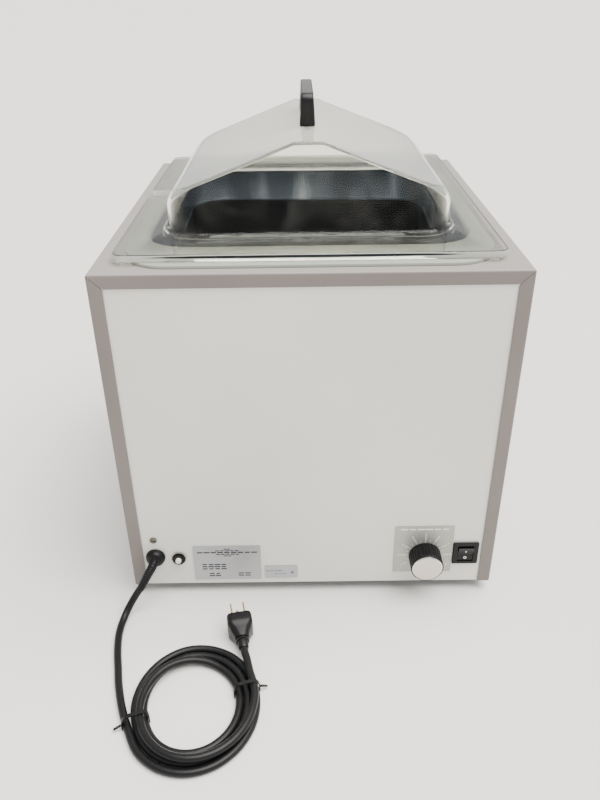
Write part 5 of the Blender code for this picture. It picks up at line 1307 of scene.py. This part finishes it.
# %% Knob body
knob_tree, given, knob_keys = group("fluted knob", Radius="Float", Length="Float",
                                    Flutes="Int", Depth="Float", Chamfer="Float",
                                    Centre="Vector")
tube_node = node(knob_tree, "GeometryNodeMeshCylinder", {"Radius": given["Radius"],
                                                         "Depth": given["Length"]},
                 fill_type="TRIANGLE_FAN")
tube_node.inputs["Vertices"].default_value = 360
tube_node.inputs["Side Segments"].default_value = 40
where = node(knob_tree, "GeometryNodeInputPosition").outputs[0]
parts = node(knob_tree, "ShaderNodeSeparateXYZ", {"Vector": where})
around = calc(knob_tree, "ARCTAN2", parts.outputs["Y"], parts.outputs["X"])
wave = calc(knob_tree, "COSINE", calc(knob_tree, "MULTIPLY", around, given["Flutes"]))
groove = calc(knob_tree, "POWER", calc(knob_tree, "MULTIPLY_ADD", wave, 0.5, 0.5), 1.6)
from_end = calc(knob_tree, "SUBTRACT", calc(knob_tree, "MULTIPLY", given["Length"], 0.5),
                calc(knob_tree, "ABSOLUTE", parts.outputs["Z"]))
fade = node(knob_tree, "ShaderNodeMapRange", {"Value": from_end}, interpolation_type="SMOOTHSTEP",
            From_Min=0.0006, From_Max=0.0020).outputs[0]
cut_in = calc(knob_tree, "MULTIPLY", calc(knob_tree, "MULTIPLY", groove, fade), given["Depth"])
edge_in = node(knob_tree, "ShaderNodeMapRange", {"Value": from_end, "To Min": given["Chamfer"]},
               From_Min=0.0, From_Max=0.0006, To_Max=0.0).outputs[0]
share = calc(knob_tree, "SUBTRACT", 1.0, calc(knob_tree, "DIVIDE", calc(
    knob_tree, "ADD", cut_in, edge_in), given["Radius"]))
shaped = node(knob_tree, "ShaderNodeCombineXYZ", {
    "X": calc(knob_tree, "MULTIPLY", parts.outputs["X"], share),
    "Y": calc(knob_tree, "MULTIPLY", parts.outputs["Y"], share), "Z": parts.outputs["Z"]})
moved = node(knob_tree, "GeometryNodeSetPosition", {"Geometry": tube_node.outputs["Mesh"],
                                                    "Position": shaped.outputs[0]})
laid = node(knob_tree, "GeometryNodeTransform", {"Geometry": moved.outputs[0],
                                                 "Translation": given["Centre"]})
laid.inputs["Rotation"].default_value = (math.pi / 2, 0.0, 0.0)
end_group(knob_tree, laid.outputs[0], given["Material"])

CAP_DEPTH = 0.0011
body_length = knob_high.y - knob_low.y - CAP_DEPTH
knob_bm = run_group(knob_tree, knob_keys, bmesh.new(), Radius=0.0168, Length=body_length,
                    Flutes=30, Depth=0.0006, Chamfer=0.0004, Material=black_moulding,
                    Centre=(KNOB_CENTRE.x, knob_high.y - body_length / 2, KNOB_CENTRE.z))
face_out(knob_bm)
knob = piece("fluted_knob", knob_bm, black_moulding, "control_knob", 40)
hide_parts("knob_body")
print("knob:", len(knob.data.polygons), "faces")

# %% [markdown]
# A turned part is a profile spun round an axis. Lofting rings of equal count does the same as a
# Spin, and its seams and ends are closed by the same helper as every other loft.

# %% Knob disc
def turned(profile, centre, sides=96, closed=False):
    """A body of revolution about Y through centre, from (radius, forward) pairs."""
    rings = [[(centre[0] + radius * math.cos(2 * math.pi * side / sides), centre[1] - forward,
               centre[2] + radius * math.sin(2 * math.pi * side / sides))
              for side in range(sides)] for radius, forward in profile]
    bm = loft(rings, closed=closed)
    face_out(bm)
    return bm


cap_foot = (KNOB_CENTRE.x, knob_low.y + CAP_DEPTH, KNOB_CENTRE.z)
disc = piece("knob_disc", turned([(0.0002, 0.0), (0.0144, 0.0), (0.0144, CAP_DEPTH - 0.00005),
                                  (0.0142, CAP_DEPTH), (0.0002, CAP_DEPTH)], cap_foot),
             turned_cap, "control_knob", 30)
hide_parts("knob_cap")
ring = piece("knob_disc_chamfer", turned([(0.01442, 0.0), (0.0153, 0.0), (0.0153, 0.0004),
                                          (0.0149, 0.00085), (0.01442, CAP_DEPTH - 0.00002)],
                                         cap_foot, closed=True),
             polished, "control_knob", 30)
print("knob disc and chamfer made")

# %% [markdown]
# ## Rocker marks
#
# A power rocker carries a bar for on and a ring for off, printed in white. Each mark sits on one
# of the rocker's two sloping faces, found from the model, so it tips with the rocker.

# %% Rocker marks
rocker_faces = sorted((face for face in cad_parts["switch_rocker"].data.polygons
                       if face.normal.y < -0.6), key=lambda face: -face.area)[:4]
rocker_low, rocker_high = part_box("switch_rocker")


def on_rocker(height):
    """A frame on the rocker's face at that height: X across, Y up the face, Z out of it."""
    face = min(rocker_faces, key=lambda face: abs(face.center.z - height))
    out = face.normal
    y = face.center.y - (height - face.center.z) * out.z / out.y
    matrix = Matrix((Vector((1, 0, 0)), out.cross(Vector((1, 0, 0))), out)).transposed()
    place = Vector(((rocker_low.x + rocker_high.x) / 2, y, height))
    return Matrix.Translation(place) @ matrix.to_4x4()


marks_bm = box_bm((-0.00048, -0.0016, 0.0), (0.00048, 0.0016, 0.00006),
                  turn=on_rocker(rocker_high.z - 0.0043))
ring_turn = on_rocker(rocker_low.z + 0.0036)
rings = []
for step in range(32):
    angle = 2 * math.pi * step / 32
    rings.append([ring_turn @ Vector((r * math.cos(angle), r * math.sin(angle), z))
                  for r, z in ((0.0009, 0), (0.0016, 0), (0.0016, 0.00006), (0.0009, 0.00006))])
ring_bm = loft(rings, closed=True)
face_out(ring_bm)
face_out(marks_bm)
baked(blank("off_ring", ring_bm), marks_bm)
marks = piece("rocker_marks", marks_bm, white_print, "rocker", 30)
print("rocker marks:", len(marks.data.polygons), "faces")

# %% [markdown]
# ## Strain relief
#
# A black bushing with a domed head is pressed into the panel, and a short ribbed sleeve comes out
# of it with the cord. The head is turned from a profile. The sleeve is a tube whose thickness
# rises and falls along the cord, which gives it its ribs.

# %% Strain relief
gland_seat = (-0.1638, PANEL_Y - 0.0003, BOTTOM_Z + 0.038)
head = piece("bushing_head", turned([
    (0.0002, 0.0), (0.0100, 0.0), (0.0102, 0.0006), (0.0101, 0.0022), (0.0096, 0.0036),
    (0.0094, 0.0044), (0.0088, 0.0058), (0.0076, 0.0072), (0.0060, 0.0081), (0.0040, 0.0086),
    (0.0002, 0.0086)], gland_seat, 48), black_moulding, "casing", 50)
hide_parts("strain_relief")
sleeve_line = smooth_line([Vector((gland_seat[0], gland_seat[1] - 0.0060, gland_seat[2])),
                           Vector((-0.1662, gland_seat[1] - 0.0125, gland_seat[2] - 0.0035)),
                           Vector((-0.1712, gland_seat[1] - 0.0185, gland_seat[2] - 0.0105)),
                           cord_line[0], cord_line[1]], 0.0003)
sleeve_radii = []
for number in range(len(sleeve_line)):
    share = number / (len(sleeve_line) - 1)
    rib = 0.5 + 0.5 * math.cos(share * 14 * 2 * math.pi)
    sleeve_radii.append(1.22 - 0.20 * share + 0.09 * rib ** 2 * (share < 0.9))
sleeve = tube_mesh("bushing_sleeve", sleeve_line, CORD_RADIUS, black_moulding, "casing",
                   6, sleeve_radii)
print("sleeve:", len(sleeve.data.polygons), "faces")
